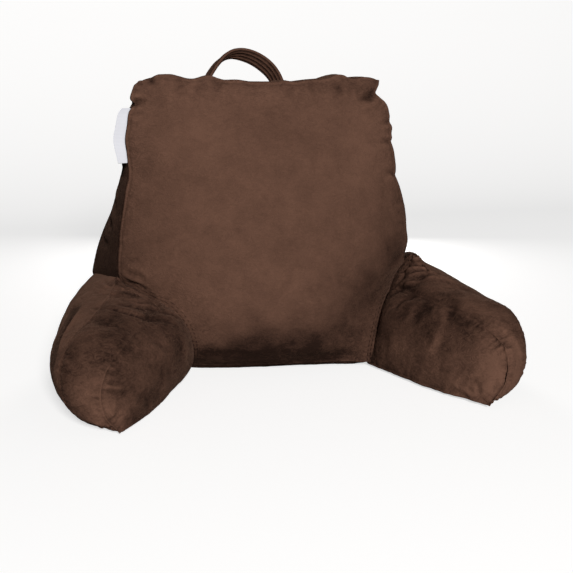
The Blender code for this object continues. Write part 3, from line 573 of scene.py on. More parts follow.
class Arm:
    """One arm's panels between its seams; a station runs from the root (0) to the end (1)."""

    def __init__(self, tables):
        self.tables = tables
        self.inside = ARM_HEART

    def root(self, edge, t):
        return Vector(smooth_row(self.tables[edge], t))

    def strip_seam(self, station, outer):
        row = smooth_row(self.tables["strip"], station)
        return Vector(row[3:] if outer else row[:3])

    def base_seam(self, station, outer):
        row = smooth_row(self.tables["base"], station)
        return Vector((*row[2:], OUTER_LIFT) if outer else (*row[:2], INNER_LIFT))

    def side_panel(self, outer, along, up):
        """The panel towards the seat, or the outer one, which starts at the gusset's lower seam."""
        edge = "root_outer" if outer else "root_inner"
        return patch(lambda a: self.base_seam(a, outer), lambda a: self.strip_seam(a, outer),
                     lambda b: self.root(edge, b), lambda b: self.strip_seam(2.0 - b, outer), along, up)

    def strip_panel(self, station, across):
        """The boxing strip, over the top and round the end; its start follows the root outline."""
        straight = self.strip_seam(0.0, False).lerp(self.strip_seam(0.0, True), across)
        bend = (self.root("root_strip", across) - straight) * max(0.0, 1.0 - 3.0 * station)
        return self.strip_seam(station, False).lerp(self.strip_seam(station, True), across) + bend

    def root_panel(self, across, up):
        """The sewn end, inside the backrest's side."""
        return patch(lambda a: self.root("root_inner", 0).lerp(self.root("root_outer", 0), a),
                     lambda a: self.root("root_strip", a),
                     lambda b: self.root("root_inner", b), lambda b: self.root("root_outer", b), across, up)

    def outward(self, panel, a, b):
        """A panel's unit normal, away from the middle of the arm."""
        normal = (panel(a + STEP, b) - panel(a - STEP, b)).cross(panel(a, b + STEP) - panel(a, b - STEP))
        normal.normalize()
        return normal if (panel(a, b) - self.inside).dot(normal) > 0 else -normal

    def fold_lines(self):
        """The main folds' starts, runs, widths and depths."""
        if not hasattr(self, "lines"):
            self.lines = []
            for values in self.tables["folds"]:
                fold = dict(zip(FOLD_COLUMNS, values))
                start = self.strip_panel(fold["station_a"], fold["across_a"])
                run = self.strip_panel(fold["station_b"], fold["across_b"]) - start
                self.lines.append((start, run, fold["width"], fold["depth"]))
        return self.lines

    def fold_depth(self, place):
        """How deep the folds press a point in."""
        total = 0.0
        for start, run, width, depth in self.fold_lines():
            share = min(max((place - start).dot(run) / run.length_squared, 0.0), 1.0)
            aside = (place - start - run * share).length
            total += depth * math.exp(-(aside / width) ** 2)
        return total

    def place(self, along, across, up):
        """A point of the arm, each share from 0 to 1: along from the sewn end, across outwards, and up."""
        root_fade = dome(0.5 * min(1.0, along * 3.0), fullness=0.6)
        if up == 0:
            place = self.base_seam(along, False).lerp(self.base_seam(along, True), across)
            place.z *= 1.0 - min(1.0, 7.0 * min(across, 1.0 - across, 2.0 * (1.0 - along)))
            return place
        if up == 1 or along == 1:
            station = along if up == 1 else 2.0 - up
            floor_fade = dome(0.5 * min(1.0, (2.0 - station) * 2.5), fullness=0.6)
            place = self.strip_panel(station, across)
            lift = STRIP_CROWN * dome(across) * root_fade * floor_fade
            lift -= self.fold_depth(place) * dome(across, fullness=0.3)
            return place + self.outward(self.strip_panel, station, across) * lift
        outer = across > 0
        crown = self.tables["outer_crown"] if outer else INNER_CROWN
        place = self.side_panel(outer, along, up)
        fade = dome(0.5 * min(1.0, along * 1.7), fullness=1.1) if outer else root_fade
        lift = crown * dome(up) * fade * dome(0.5 + 0.5 * along, fullness=0.7)
        lift -= self.fold_depth(place) * dome(up)
        return place + self.outward(lambda a, b: self.side_panel(outer, a, b), along, up) * lift

    def sewn_place(self, along, across, up):
        """A point of the part of the arm that runs into the backrest, along from 0 (inside) to 1."""
        inside = self.root_panel(across, up).lerp(ROOT_HEART, ROOT_DRAW)
        return inside.lerp(self.place(0.0, across, up), along)


# ---------------------------------------------------------------- making and filling cloth

def crowded(t):
    """A share from 0 to 1, with its steps drawn towards both ends."""
    return 0.0 if t == 0 else 1.0 if t == 1 else t - CROWDING * math.sin(2.0 * math.pi * t) / (2.0 * math.pi)


def lattice(cells):
    """A cube cut into cells, with every corner of the lattice at whole-number coordinates."""
    mesh = bmesh.new()
    bmesh.ops.create_cube(mesh, size=1.0)
    bmesh.ops.translate(mesh, verts=mesh.verts, vec=(0.5, 0.5, 0.5))
    for axis, count in enumerate(cells):
        along = [edge for edge in mesh.edges
                 if abs(edge.verts[0].co[axis] - edge.verts[1].co[axis]) > 0.5]
        if count > 1:
            bmesh.ops.subdivide_edges(mesh, edges=along, cuts=count - 1, use_grid_fill=True)
    bmesh.ops.scale(mesh, verts=mesh.verts, vec=cells)
    return mesh


def linked(name, mesh):
    """An object for a finished bmesh, in the scene."""
    data = bpy.data.meshes.new(name)
    mesh.to_mesh(data)
    mesh.free()
    data.shade_smooth()
    made = bpy.data.objects.new(name, data)
    bpy.context.scene.collection.objects.link(made)
    return made


def sewn_form(name, cells, place, mirrored=False):
    """Place every lattice corner with the piece's own form. Its place on the pattern is kept with it."""
    mesh = lattice(cells)
    pattern = mesh.verts.layers.float_vector.new("pattern")
    for vert in mesh.verts:
        at = [round(vert.co[axis]) / cells[axis] for axis in range(3)]
        vert[pattern] = at
        target = place(*at)
        vert.co = (-target.x, target.y, target.z) if mirrored else target
    if mirrored:
        bmesh.ops.reverse_faces(mesh, faces=mesh.faces)
    return linked(name, mesh)


def coordinates(mesh):
    """The mesh's points as an array."""
    points = np.empty(len(mesh.vertices) * 3)
    mesh.vertices.foreach_get("co", points)
    return points.reshape(-1, 3)


def normals(mesh):
    """The mesh's normals at its points, as an array."""
    found = np.empty(len(mesh.vertices) * 3, np.float32)
    mesh.vertex_normals.foreach_get("vector", found)
    return found.reshape(-1, 3).astype(float)


def pattern_of(mesh):
    """Where the mesh's points are on the pattern, as an array."""
    found = np.empty(len(mesh.vertices) * 3, np.float32)
    mesh.attributes["pattern"].data.foreach_get("vector", found)
    return np.round(found.reshape(-1, 3).astype(float), 6)


def move_points(mesh, points):
    """Write an array of points back."""
    mesh.vertices.foreach_set("co", points.ravel())
    mesh.update()


def seam_line(points, pattern, axis_a, end_a, axis_b, end_b):
    """The points along one seam, in order, with the length sewn so far and the direction at each."""
    on = np.where((pattern[:, axis_a] == end_a) & (pattern[:, axis_b] == end_b))[0]
    run = 3 - axis_a - axis_b
    line = points[on[np.argsort(pattern[on, run])]]
    ahead = np.gradient(line, axis=0)
    sewn = np.concatenate(([0.0], np.cumsum(np.linalg.norm(np.diff(line, axis=0), axis=1))))
    return line, sewn, ahead / np.linalg.norm(ahead, axis=1)[:, None]


def near_seam(points, pattern, seam):
    """The points on the two panels that a seam joins, how far each is from it, and where along it."""
    axis_a, end_a, axis_b, end_b = (seam[name] for name in SEAM_COLUMNS[:4])
    line, sewn, ahead = seam_line(points, pattern, axis_a, end_a, axis_b, end_b)
    on = np.where((pattern[:, axis_a] == end_a) | (pattern[:, axis_b] == end_b))[0]
    away, along = np.empty(len(on)), np.empty(len(on))
    for start in range(0, len(on), 4000):
        part = points[on[start:start + 4000]]
        gaps = np.linalg.norm(part[:, None, :] - line[None, :, :], axis=2)
        nearest = gaps.argmin(axis=1)
        aside = part - line[nearest]
        step = (aside * ahead[nearest]).sum(axis=1)
        along[start:start + 4000] = sewn[nearest] + step
        away[start:start + 4000] = np.sqrt(np.maximum((aside ** 2).sum(axis=1) - step ** 2, 0.0))
    return on, away, along


def seams_of(table):
    return [dict(zip(SEAM_COLUMNS, row)) for row in table]


def fill(piece, seams, pinned):
    """Blow the piece out as filled cloth, held at its seams and cut a little too large beside them."""
    start, pattern = coordinates(piece.data), pattern_of(piece.data)
    slack = np.zeros(len(start))
    for seam in seams_of(seams):
        on, away, _ = near_seam(start, pattern, seam)
        slack[on] = np.maximum(slack[on], np.exp(-(away / SLACK_REACH) ** 2))
    held = piece.vertex_groups.new(name="held")
    loose = piece.vertex_groups.new(name="loose")
    for index, share in enumerate(pinned(pattern)):
        if share > 0:
            held.add([index], float(share), "REPLACE")
    for index, share in enumerate(slack):
        loose.add([index], float(share), "REPLACE")
    cloth = piece.modifiers.new("filling", "CLOTH")
    settings = cloth.settings
    settings.quality = 6
    settings.mass = 0.25
    settings.tension_stiffness = 20.0
    settings.compression_stiffness = 20.0
    settings.shear_stiffness = 8.0
    settings.bending_stiffness = 0.6
    settings.tension_damping = 12.0
    settings.compression_damping = 12.0
    settings.shear_damping = 12.0
    settings.air_damping = 2.0
    settings.use_pressure = True
    settings.uniform_pressure_force = FILL_PRESSURE
    settings.effector_weights.gravity = 0.0
    settings.vertex_group_mass = "held"
    settings.pin_stiffness = 1.0
    settings.vertex_group_shrink = "loose"
    settings.shrink_min = 0.0
    settings.shrink_max = -SLACK
    cloth.point_cache.frame_start = 1
    cloth.point_cache.frame_end = FILL_FRAMES
    scene = bpy.context.scene
    for number in range(1, FILL_FRAMES + 1):
        scene.frame_set(number)
    held_mesh = bpy.data.meshes.new_from_object(piece.evaluated_get(bpy.context.evaluated_depsgraph_get()))
    moved = coordinates(held_mesh) - start
    bpy.data.meshes.remove(held_mesh)
    piece.modifiers.remove(cloth)
    scene.frame_set(1)
    size = np.linalg.norm(moved, axis=1)
    moved *= (FILL_CAP * np.tanh(size / FILL_CAP) / np.maximum(size, 1e-9))[:, None]
    filled = start + moved
    filled[:, 2] = np.maximum(filled[:, 2], 0.0)
    move_points(piece.data, filled)
    piece.vertex_groups.clear()


def cut_finer(piece):
    """One subdivision, applied, so that the seams and gathers after it have points to move."""
    finer = piece.modifiers.new("finer", "SUBSURF")
    finer.levels = finer.render_levels = 1
    made = bpy.data.meshes.new_from_object(piece.evaluated_get(bpy.context.evaluated_depsgraph_get()))
    old = piece.data
    piece.modifiers.remove(finer)
    piece.data = made
    bpy.data.meshes.remove(old)
    made.shade_smooth()


def gathers(along, away, pitch, number):
    """The wave of a gathered edge: uneven pleats that drift a little as they leave the seam."""
    turn = 2.0 * math.pi * along / pitch
    drift = 1.3 * np.sin(turn / 3.7 + 1.7 * number) + 0.9 * np.sin(turn / 6.1 + 0.6 * number + 40.0 * away)
    size = 0.55 + 0.45 * np.sin(turn / 5.3 + 2.9 * number + 1.0)
    return size * (0.5 + 0.5 * np.sin(turn + drift)) ** 1.6


def seam_relief(points, pattern, seams, sizes):
    """How far the seams press each point in, how far they raise it, and how far off the nearest one is."""
    pressed, raised = np.zeros(len(points)), np.zeros(len(points))
    nearest = np.full(len(points), JOIN_FAR)
    for number, seam in enumerate(seams_of(seams)):
        on, away, along = near_seam(points, pattern, seam)
        fade = np.exp(-(away / seam["reach"]) ** 1.5) * np.minimum(1.0, away / 0.003)
        pressed[on] += sizes.pucker * seam["depth"] * fade * gathers(along, away, seam["pitch"], number)
        ridge = seam["ridge"] * sizes.ridge
        raised[on] = np.maximum(raised[on], ridge * np.exp(-(away / RIDGE_WIDTH) ** 2))
        pressed[on] += GROOVE_SHARE * ridge * np.exp(-((away - GROOVE_AWAY) / GROOVE_WIDTH) ** 2)
        nearest[on] = np.minimum(nearest[on], away)
    return pressed, raised, nearest


def near_curve(points, corners, reach):
    """The points near a curve through three corners, their offsets from it, its direction there, and how
    far along it they are, from 0 to 1."""
    start, middle, end = (np.array(corner) for corner in corners)
    pull = 2.0 * middle - 0.5 * (start + end)
    share = np.linspace(0.0, 1.0, FOLD_STEPS + 1)[:, None]
    curve = (1.0 - share) ** 2 * start + 2.0 * share * (1.0 - share) * pull + share ** 2 * end
    ahead = np.gradient(curve, axis=0)
    ahead /= np.linalg.norm(ahead, axis=1)[:, None]
    near = np.where(np.all((points > curve.min(axis=0) - reach) & (points < curve.max(axis=0) + reach),
                           axis=1))[0]
    nearest = np.linalg.norm(points[near][:, None, :] - curve[None, :, :], axis=2).argmin(axis=1)
    offset = points[near] - curve[nearest]
    step = (offset * ahead[nearest]).sum(axis=1)
    along = np.clip(nearest / FOLD_STEPS + step / np.linalg.norm(end - start), 0.0, 1.0)
    return near, offset, ahead[nearest], along


def fold_relief(points, out, folds):
    """How far the named folds press each point in; a lip beside a fold stands up instead."""
    pressed = np.zeros(len(points))
    for *corners, width, depth, lip in folds:
        near, offset, ahead, along = near_curve(points, corners, 4.0 * width)
        taper = np.sin(np.pi * along) ** 0.85
        across = (offset * np.cross(out[near], ahead)).sum(axis=1)
        across += 0.25 * width * np.sin(9.0 * along + 40.0 * corners[0][0])
        below = np.abs((offset * out[near]).sum(axis=1))
        level = np.exp(-(np.maximum(below - width, 0.0) / width) ** 2)
        hollow = np.exp(-(across / width) ** 2)
        raised = np.exp(-((across - math.copysign(1.9 * width, lip)) / (1.1 * width)) ** 2)
        pressed[near] += depth * taper * level * (hollow - abs(lip) * raised)
    return pressed


def painted_streak_tone(points, painted_streaks):
    """How much lighter the painted streaks of light and shade make the pile at each point."""
    total = np.zeros(len(points))
    for *corners, width, change in painted_streaks:
        near, offset, ahead, along = near_curve(points, corners, 2.0 * width)
        aside = np.linalg.norm(offset - (offset * ahead).sum(axis=1)[:, None] * ahead, axis=1)
        total[near] += change * np.exp(-(aside / width) ** 4) * np.minimum(1.0, 4.0 * np.sin(np.pi * along))
    return total


def join_pleats(pattern, gap, pleats):
    """How far the pleats of a sewn-on arm press each point in; they run on round its top and sides."""
    if pleats is None:
        return 0.0
    pitch, depth, reach = pleats
    down = SIDE_HIGH * (1.0 - pattern[:, 2])
    round_arm = STRIP_WIDE * pattern[:, 1] + down * (2.0 * pattern[:, 1] - 1.0)
    fade = np.exp(-(gap / reach) ** 1.5 - (down / PLEATS_DOWN) ** 2)
    return depth * fade * gathers(round_arm, gap, pitch, 3)


def join_gap(points, others):
    """How far each point is from the solids of the pieces that are sewn to this one, up to a few cm."""
    gap = np.full(len(points), JOIN_FAR)
    for name in others:
        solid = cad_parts[name]
        shape = bmesh.new()
        shape.from_mesh(solid.data)
        tree = BVHTree.FromBMesh(shape)
        shape.free()
        low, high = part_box(name)
        near = np.all((points > np.array(low) - JOIN_FAR) & (points < np.array(high) + JOIN_FAR), axis=1)
        for index in np.where(near)[0]:
            hit = tree.find_nearest(points[index], JOIN_FAR)
            if hit[0] is not None:
                gap[index] = min(gap[index], hit[3])
    return gap


def keep(mesh, name, values):
    """Store a value from 0 to 1 at each point, for the finish to read."""
    stored = mesh.attributes.new(name, "FLOAT", "POINT")
    stored.data.foreach_set("value", np.clip(values, 0.0, 1.0).astype(np.float32))


def painted_patches(points, marks):
    """How much lighter the patches of painted light and painted shade make the pile at each point."""
    total = np.zeros(len(points))
    drift = np.array([noise.noise_vector(Vector(point) * 45.0) for point in points]) * PATCH_DRIFT
    for middle, reach, change in marks:
        away = (points - np.array(middle)) / np.array(reach)
        near = np.abs(away).max(axis=1) < 2.5
        total[near] += change * np.exp(-((away[near] + drift[near]) ** 2).sum(axis=1))
    return total


def dress(piece, looks, sewn_to, sizes):
    """Gather and fold the cloth, draw it in where it is sewn to its neighbours, and store its tones: random
    mottling with painted shade and painted highlights.
    """
    mesh = piece.data
    points, pattern, out = coordinates(mesh), pattern_of(mesh), normals(mesh)
    pressed, raised, seam_gap = seam_relief(points, pattern, looks["seams"], sizes)
    gap = join_gap(points, sewn_to)
    pressed += JOIN_DEPTH * np.exp(-(gap / JOIN_REACH) ** 1.3) + sizes.pucker * join_pleats(pattern, gap, looks["pleats"])
    pressed += sizes.folds * fold_relief(points, out, looks["folds"])
    ruffle = np.array([noise.noise(Vector(point) * 34.0) - abs(noise.noise(Vector(point) * 75.0))
                       for point in points])
    lift = raised - pressed + sizes.ruffle * looks["crumple"] * ruffle
    moved = points + out * lift[:, None]
    moved[:, 2] = np.maximum(moved[:, 2], 0.0)
    move_points(mesh, moved)
    tone = looks["tone"] + painted_patches(points, looks["painted_patches"]) + painted_streak_tone(points, looks["painted_streaks"])
    # mottled at random with the same noise that lifts the cloth, so the rises are also painted lighter and the
    # dips darker, as painted light and shade
    tone += looks["mottle"] * ruffle
    # painted shade in folds, gathers and seam grooves, a painted highlight on seam ridges, and painted shade
    # beside the joins with the neighbouring pieces
    tone += (raised - pressed) / FOLD_SHADE_DEPTH - JOIN_SHADE * np.exp(-(gap / JOIN_SHADE_REACH) ** 1.5)
    # painted shade on the backrest's gussets and top, and painted light on the left arm's outer panel
    for axis, end, lighter in looks["panels"]:
        tone[pattern[:, axis] == end] += lighter
    keep(mesh, "tone", tone)
    keep(mesh, "stitch", gap / STITCH_REACH)
    beside = np.exp(-(np.minimum(gap, seam_gap) / RUFFLED_REACH) ** 2)
    keep(mesh, "ruffled", looks["ruffled"] + (1.0 - looks["ruffled"]) * beside)


# ---------------------------------------------------------------- finishes

def node(tree, kind, settings=None, links=None):
    """Add a node with its settings; each of links is a socket to join to an input, or a plain value."""
    made = tree.nodes.new(kind)
    for name, value in (settings or {}).items():
        setattr(made, name, value)
    for name, value in (links or {}).items():
        if isinstance(value, bpy.types.NodeSocket):
            tree.links.new(value, made.inputs[name])
        else:
            made.inputs[name].default_value = value
    return made


def blank_material(name):
    """A new material, its tree and its shader."""
    made = bpy.data.materials.new(name)
    made.use_nodes = True
    return made, made.node_tree, made.node_tree.nodes["Principled BSDF"]


def velvet_finish(colours):
    """Polyester velvet, warp-knitted and sheared: a short dense pile that is dark seen head-on, bright where
    it is seen along the surface, and smudged light and dark at random; the tones stored on the pieces add
    painted shade and painted highlights."""
    made, tree, shader = blank_material("polyester_velvet")
    place = node(tree, "ShaderNodeTexCoord").outputs["Object"]
    smudge = node(tree, "ShaderNodeTexNoise", None,
                  {"Vector": place, "Scale": 30.0, "Detail": 3.0, "Roughness": 0.6, "Distortion": 0.7})
    stroke_place = node(tree, "ShaderNodeMapping", None, {"Vector": place, "Scale": (1.0, 1.0, 1.7)})
    stroke = node(tree, "ShaderNodeTexNoise", None,
                  {"Vector": stroke_place.outputs["Vector"], "Scale": 120.0, "Detail": 4.0, "Roughness": 0.65,
                   "Distortion": 1.6})
    # The pile itself is 0.2 mm thick yarn ends; it is drawn at about 1.5 mm so that it shows
    pile = node(tree, "ShaderNodeTexNoise", None,
                {"Vector": place, "Scale": 620.0, "Detail": 2.0, "Roughness": 0.7})
    tone = node(tree, "ShaderNodeAttribute", {"attribute_name": "tone"}).outputs["Fac"]
    ruffled = node(tree, "ShaderNodeAttribute", {"attribute_name": "ruffled"}).outputs["Fac"]
    for pattern, share, everywhere in ((smudge, 0.50, 0.6), (stroke, 1.10, 0.1), (pile, 0.40, 1.0)):
        amount = node(tree, "ShaderNodeMath", {"operation": "MULTIPLY_ADD"},
                      {0: ruffled, 1: share * (1.0 - everywhere), 2: share * everywhere})
        centred = node(tree, "ShaderNodeMath", {"operation": "SUBTRACT"}, {0: pattern.outputs["Fac"], 1: 0.5})
        tone = node(tree, "ShaderNodeMath", {"operation": "MULTIPLY_ADD"},
                    {0: centred.outputs["Value"], 1: amount.outputs["Value"], 2: tone}).outputs["Value"]
    # Two rows of lockstitch hold a join, 3.5 and 7.5 mm from it, sunk in the pile
    away = node(tree, "ShaderNodeAttribute", {"attribute_name": "stitch"}).outputs["Fac"]
    rows = node(tree, "ShaderNodeValToRGB", None, {"Fac": away})
    rows.color_ramp.elements[1].color = (0.0, 0.0, 0.0, 1.0)
    for at, depth in ((0.20, 0.0), (0.29, 1.0), (0.38, 0.0), (0.55, 0.0), (0.63, 1.0), (0.71, 0.0)):
        rows.color_ramp.elements.new(at).color = (depth, depth, depth, 1.0)
    lengths = node(tree, "ShaderNodeTexWave", {"bands_direction": "Z"}, {"Vector": place, "Scale": 60.0})
    stitches = node(tree, "ShaderNodeMath", {"operation": "MULTIPLY"},
                    {0: rows.outputs["Color"], 1: lengths.outputs["Fac"]}).outputs["Value"]
    tone = node(tree, "ShaderNodeMath", {"operation": "MULTIPLY_ADD"},
                {0: stitches, 1: -0.60, 2: tone}).outputs["Value"]
    # The ramp turns the tone into colour, so the painted shade and painted highlights in it become the velvet's
    # colour.
    ramp = node(tree, "ShaderNodeValToRGB", None, {"Fac": tone})
    ramp.color_ramp.elements[0].color = (*colours.velvet_deep, 1.0)
    ramp.color_ramp.elements[1].color = (*colours.velvet, 1.0)
    tree.links.new(ramp.outputs["Color"], shader.inputs["Base Color"])
    shader.inputs["Roughness"].default_value = 0.95
    shader.inputs["Specular IOR Level"].default_value = 0.02
    shader.inputs["Sheen Weight"].default_value = 0.11
    shader.inputs["Sheen Roughness"].default_value = 0.30
    shader.inputs["Sheen Tint"].default_value = (*linear("C49A84"), 1.0)
    relief = node(tree, "ShaderNodeMath", {"operation": "MULTIPLY_ADD"},
                  {0: stroke.outputs["Fac"], 1: 3.0, 2: pile.outputs["Fac"]})
    bump = node(tree, "ShaderNodeBump", None,
                {"Height": relief.outputs["Value"], "Strength": 0.5, "Distance": 0.0012})
    tree.links.new(bump.outputs["Normal"], shader.inputs["Normal"])
    return made


def tape_finish(colours):
    """Woven polyester satin tape: fine bright threads across it, which give a soft even white."""
    made, tree, shader = blank_material("woven_satin_tape")
    place = node(tree, "ShaderNodeTexCoord").outputs["Object"]
    # Threads of a satin tape are 0.15 mm apart; they are drawn at 0.9 mm so that they show
    threads = node(tree, "ShaderNodeTexWave", {"bands_direction": "Z"},
                   {"Vector": place, "Scale": 170.0, "Distortion": 0.6, "Detail": 1.0})
    ramp = node(tree, "ShaderNodeValToRGB", None, {"Fac": threads.outputs["Fac"]})
    ramp.color_ramp.elements[0].color = (*[part * 0.9 for part in colours.tape], 1.0)
    ramp.color_ramp.elements[1].color = (*colours.tape, 1.0)
    tree.links.new(ramp.outputs["Color"], shader.inputs["Base Color"])
    shader.inputs["Roughness"].default_value = 0.45
    bump = node(tree, "ShaderNodeBump", None,
                {"Height": threads.outputs["Fac"], "Strength": 0.15, "Distance": 0.0002})
    tree.links.new(bump.outputs["Normal"], shader.inputs["Normal"])
    return made


def paper_finish(colours):
    """Matt seamless background paper, lit from behind: an even pale white with no gloss."""
    made, tree, shader = blank_material("background_paper")
    shader.inputs["Base Color"].default_value = (*colours.floor, 1.0)
    shader.inputs["Roughness"].default_value = 0.9
    shader.inputs["Emission Color"].default_value = (1.0, 1.0, 1.0, 1.0)
    shader.inputs["Emission Strength"].default_value = 0.62
    return made


def finish_of(name, maker):
    """A finish that several pieces share, made once."""
    return bpy.data.materials.get(name) or maker(bpy.context.scene.pillow_colours)


def hand_over(piece, node_name, finish):
    """Give a piece its finish, hang it under the root body, and hide the solid it stands for."""
    piece.data.materials.clear()
    piece.data.materials.append(finish)
    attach(piece, "root")
    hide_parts(node_name)


# ---------------------------------------------------------------- what a user can change

class PillowSizes(bpy.types.PropertyGroup):
    pucker: bpy.props.FloatProperty(
        name="Gathers", description="How deep the seams gather the cloth, against the real pillow's",
        default=1.0, min=0.0, max=3.0, subtype="FACTOR")
    ridge: bpy.props.FloatProperty(
        name="Seam ridges", description="How high the seams stand, against the real pillow's",
        default=1.0, min=0.0, max=3.0, subtype="FACTOR")
    folds: bpy.props.FloatProperty(
        name="Folds", description="How deep the named folds are, against the real pillow's",
        default=1.0, min=0.0, max=2.0, subtype="FACTOR")
    ruffle: bpy.props.FloatProperty(
        name="Unevenness", description="How uneven the filling leaves the cloth",
        default=0.0006, min=0.0, max=0.004, unit="LENGTH")


class PillowColours(bpy.types.PropertyGroup):
    velvet: bpy.props.FloatVectorProperty(
        name="Velvet", description="Brushed velvet where its pile catches light",
        default=linear(VELVET_HEX), size=3, min=0.0, max=1.0, subtype="COLOR")
    # velvet_deep is also the colour of the painted shade in folds, hollows and shaded sides
    velvet_deep: bpy.props.FloatVectorProperty(
        name="Velvet, deep", description="Velvet in its folds and where the pile leans away",
        default=linear(VELVET_DEEP_HEX), size=3, min=0.0, max=1.0, subtype="COLOR")
    tape: bpy.props.FloatVectorProperty(
        name="Tape", description="The blank side tape",
        default=linear(TAPE_HEX), size=3, min=0.0, max=1.0, subtype="COLOR")
    floor: bpy.props.FloatVectorProperty(
        name="Paper", description="The background paper",
        default=linear(FLOOR_HEX), size=3, min=0.0, max=1.0, subtype="COLOR")


# ---------------------------------------------------------------- the pieces

class PILLOW_OT_backrest(bpy.types.Operator):
    """Build the filled velvet backrest"""
    bl_idname = "pillow.backrest"
    bl_label = "Backrest"

    def execute(self, context):
        def place(u, v, w):
            return back_surface(2.0 * crowded(u) - 1.0, crowded(v), BACK_ROWS * crowded(w))

        def pinned(pattern):
            ends = (pattern == 0) | (pattern == 1)
            return np.where((ends.sum(axis=1) >= 2) | (pattern[:, 2] == 0), 1.0, 0.0)

        piece = sewn_form("backrest_velvet", BACK_CELLS, place)
        fill(piece, BACK_SEAMS, pinned)
        cut_finer(piece)
        dress(piece, BACK_LOOKS, ("arm_left", "arm_right"), context.scene.pillow_sizes)
        hand_over(piece, "backrest", finish_of("polyester_velvet", velvet_finish))
        return {"FINISHED"}


class PILLOW_OT_arms(bpy.types.Operator):
    """Build the two filled velvet arms"""
    bl_idname = "pillow.arms"
    bl_label = "Arms"

    def execute(self, context):
        sewn_share = ARM_ROOT_CELLS / ARM_CELLS[0]

        def pinned(pattern):
            seam = ((pattern[:, 1] == 0) | (pattern[:, 1] == 1)) \
                & ((pattern[:, 2] == 0) | (pattern[:, 2] == 1) | (pattern[:, 0] == 1))
            return np.where(seam | (pattern[:, 0] <= sewn_share) | (pattern[:, 2] == 0), 1.0, 0.0)

        for name, tables, looks, mirrored in (("arm_right", ARM_RIGHT, RIGHT_LOOKS, False),
                                              ("arm_left", ARM_LEFT, LEFT_LOOKS, True)):
            arm = Arm(tables)

            def place(u, v, w):
                across, up = crowded(v), crowded(w)
                if u < sewn_share:
                    return arm.sewn_place(u / sewn_share, across, up)
                return arm.place(crowded((u - sewn_share) / (1.0 - sewn_share)), across, up)

            piece = sewn_form(name + "_velvet", ARM_CELLS, place, mirrored)
            fill(piece, ARM_SEAMS, pinned)
            cut_finer(piece)
            dress(piece, looks, ("backrest",), context.scene.pillow_sizes)
            hand_over(piece, name, finish_of("polyester_velvet", velvet_finish))
        return {"FINISHED"}


class PILLOW_OT_handle(bpy.types.Operator):
    """Build the carrying strap, a flat tube of velvet with lengthwise ribs"""
    bl_idname = "pillow.handle"
    bl_label = "Carrying strap"

    CELLS = (72, 24, 2)
    RIBS = 4.0
    RIB_DEPTH = 0.0008

    def strap_place(self, u, v, w):
        """A point of the twisted arch."""
        x, z, twist = smooth_row(STRAP_RUN, u)
        after, before = (smooth_row(STRAP_RUN, min(max(u + step, 0.0), 1.0)) for step in (STEP, -STEP))
        outer = Vector((before[1] - after[1], 0.0, after[0] - before[0])).normalized()
        middle, twist = Vector((x, STRAP_Y, z)), math.radians(twist)
        width = Vector((0.0, math.cos(twist), 0.0)) + outer * math.sin(twist)
        thick = Vector((outer.z, 0.0, -outer.x)).cross(width)
        side = 2.0 * w - 1.0
        half = 0.5 * STRAP_THICK * (0.45 + 0.55 * dome(v, roundness=5.0, fullness=0.5))
        rib = self.RIB_DEPTH * math.cos(2.0 * math.pi * self.RIBS * (v - 0.5) + 0.8 * math.sin(5.0 * u))
        return middle + width * STRAP_WIDTH * (v - 0.5) + thick * side * (half + rib * dome(v))

    def execute(self, context):
        piece = sewn_form("handle_velvet", self.CELLS, self.strap_place)
        finer = piece.modifiers.new("finer", "SUBSURF")
        finer.levels = finer.render_levels = 1
        pattern = pattern_of(piece.data)
        # Painted light and shade on the strap: its ribs are painted lighter on their crests and darker between
        # them, and lit paints a highlight on half its width near the top of the arch.
        rib = np.cos(2.0 * math.pi * self.RIBS * (pattern[:, 1] - 0.5) + 0.8 * np.sin(5.0 * pattern[:, 0]))
        lit = np.exp(-((pattern[:, 0] - 0.42) / 0.12) ** 2) * (pattern[:, 1] > 0.5)
        keep(piece.data, "tone", 0.10 + 0.62 * (0.5 + 0.5 * rib) ** 1.6 + 0.30 * lit)
        keep(piece.data, "ruffled", np.full(len(rib), 0.8))
        keep(piece.data, "stitch", np.ones(len(rib)))
        hand_over(piece, "handle", finish_of("polyester_velvet", velvet_finish))
        return {"FINISHED"}


class PILLOW_OT_label(bpy.types.Operator):
    """Build the blank folded tape in the left side seam"""
    bl_idname = "pillow.label"
    bl_label = "Side tape"

    ROUND_CELLS = 30
    UP_CELLS = 24
    THICK = 0.0004

    def tape_place(self, around, up):
        """A point of the tape: around from one end at the seam over the fold to the other, and up."""
        z = TAPE_LOW_Z + (TAPE_HIGH_Z - TAPE_LOW_Z) * up
        row = next(low[0] + (high[0] - low[0]) * (z - low[3]) / (high[3] - low[3])
                   for low, high in zip(BACK_UPPER, BACK_UPPER[1:]) if z <= high[3])
        line = back_row(row, -1.0)
        out = math.sin(math.pi * around) ** 0.7 if 0 < around < 1 else 0.0
        bow = 1.0 - (2.0 * up - 1.0) ** 2
        layer = math.cos(math.pi * around) * (0.0003 + 0.0007 * dome(out))
        x = line["front_x"] + PIECE_GAP + (TAPE_REACH + TAPE_BOW * bow) * out
        y = line["front_y"] - PIECE_GAP - 0.5 * TAPE_THICK - TAPE_LEAN * out ** 2 - layer
        return Vector((-x, y, z))

    def execute(self, context):
        mesh = bmesh.new()
        bmesh.ops.create_grid(mesh, x_segments=self.ROUND_CELLS, y_segments=self.UP_CELLS, size=1.0)
        for vert in mesh.verts:
            vert.co = self.tape_place(0.5 + 0.5 * vert.co.x, 0.5 + 0.5 * vert.co.y)
        piece = linked("label_tape", mesh)
        thick = piece.modifiers.new("thick", "SOLIDIFY")
        thick.thickness = self.THICK
        thick.offset = 0.0
        finer = piece.modifiers.new("finer", "SUBSURF")
        finer.levels = finer.render_levels = 1
        hand_over(piece, "label", finish_of("woven_satin_tape", tape_finish))
        return {"FINISHED"}


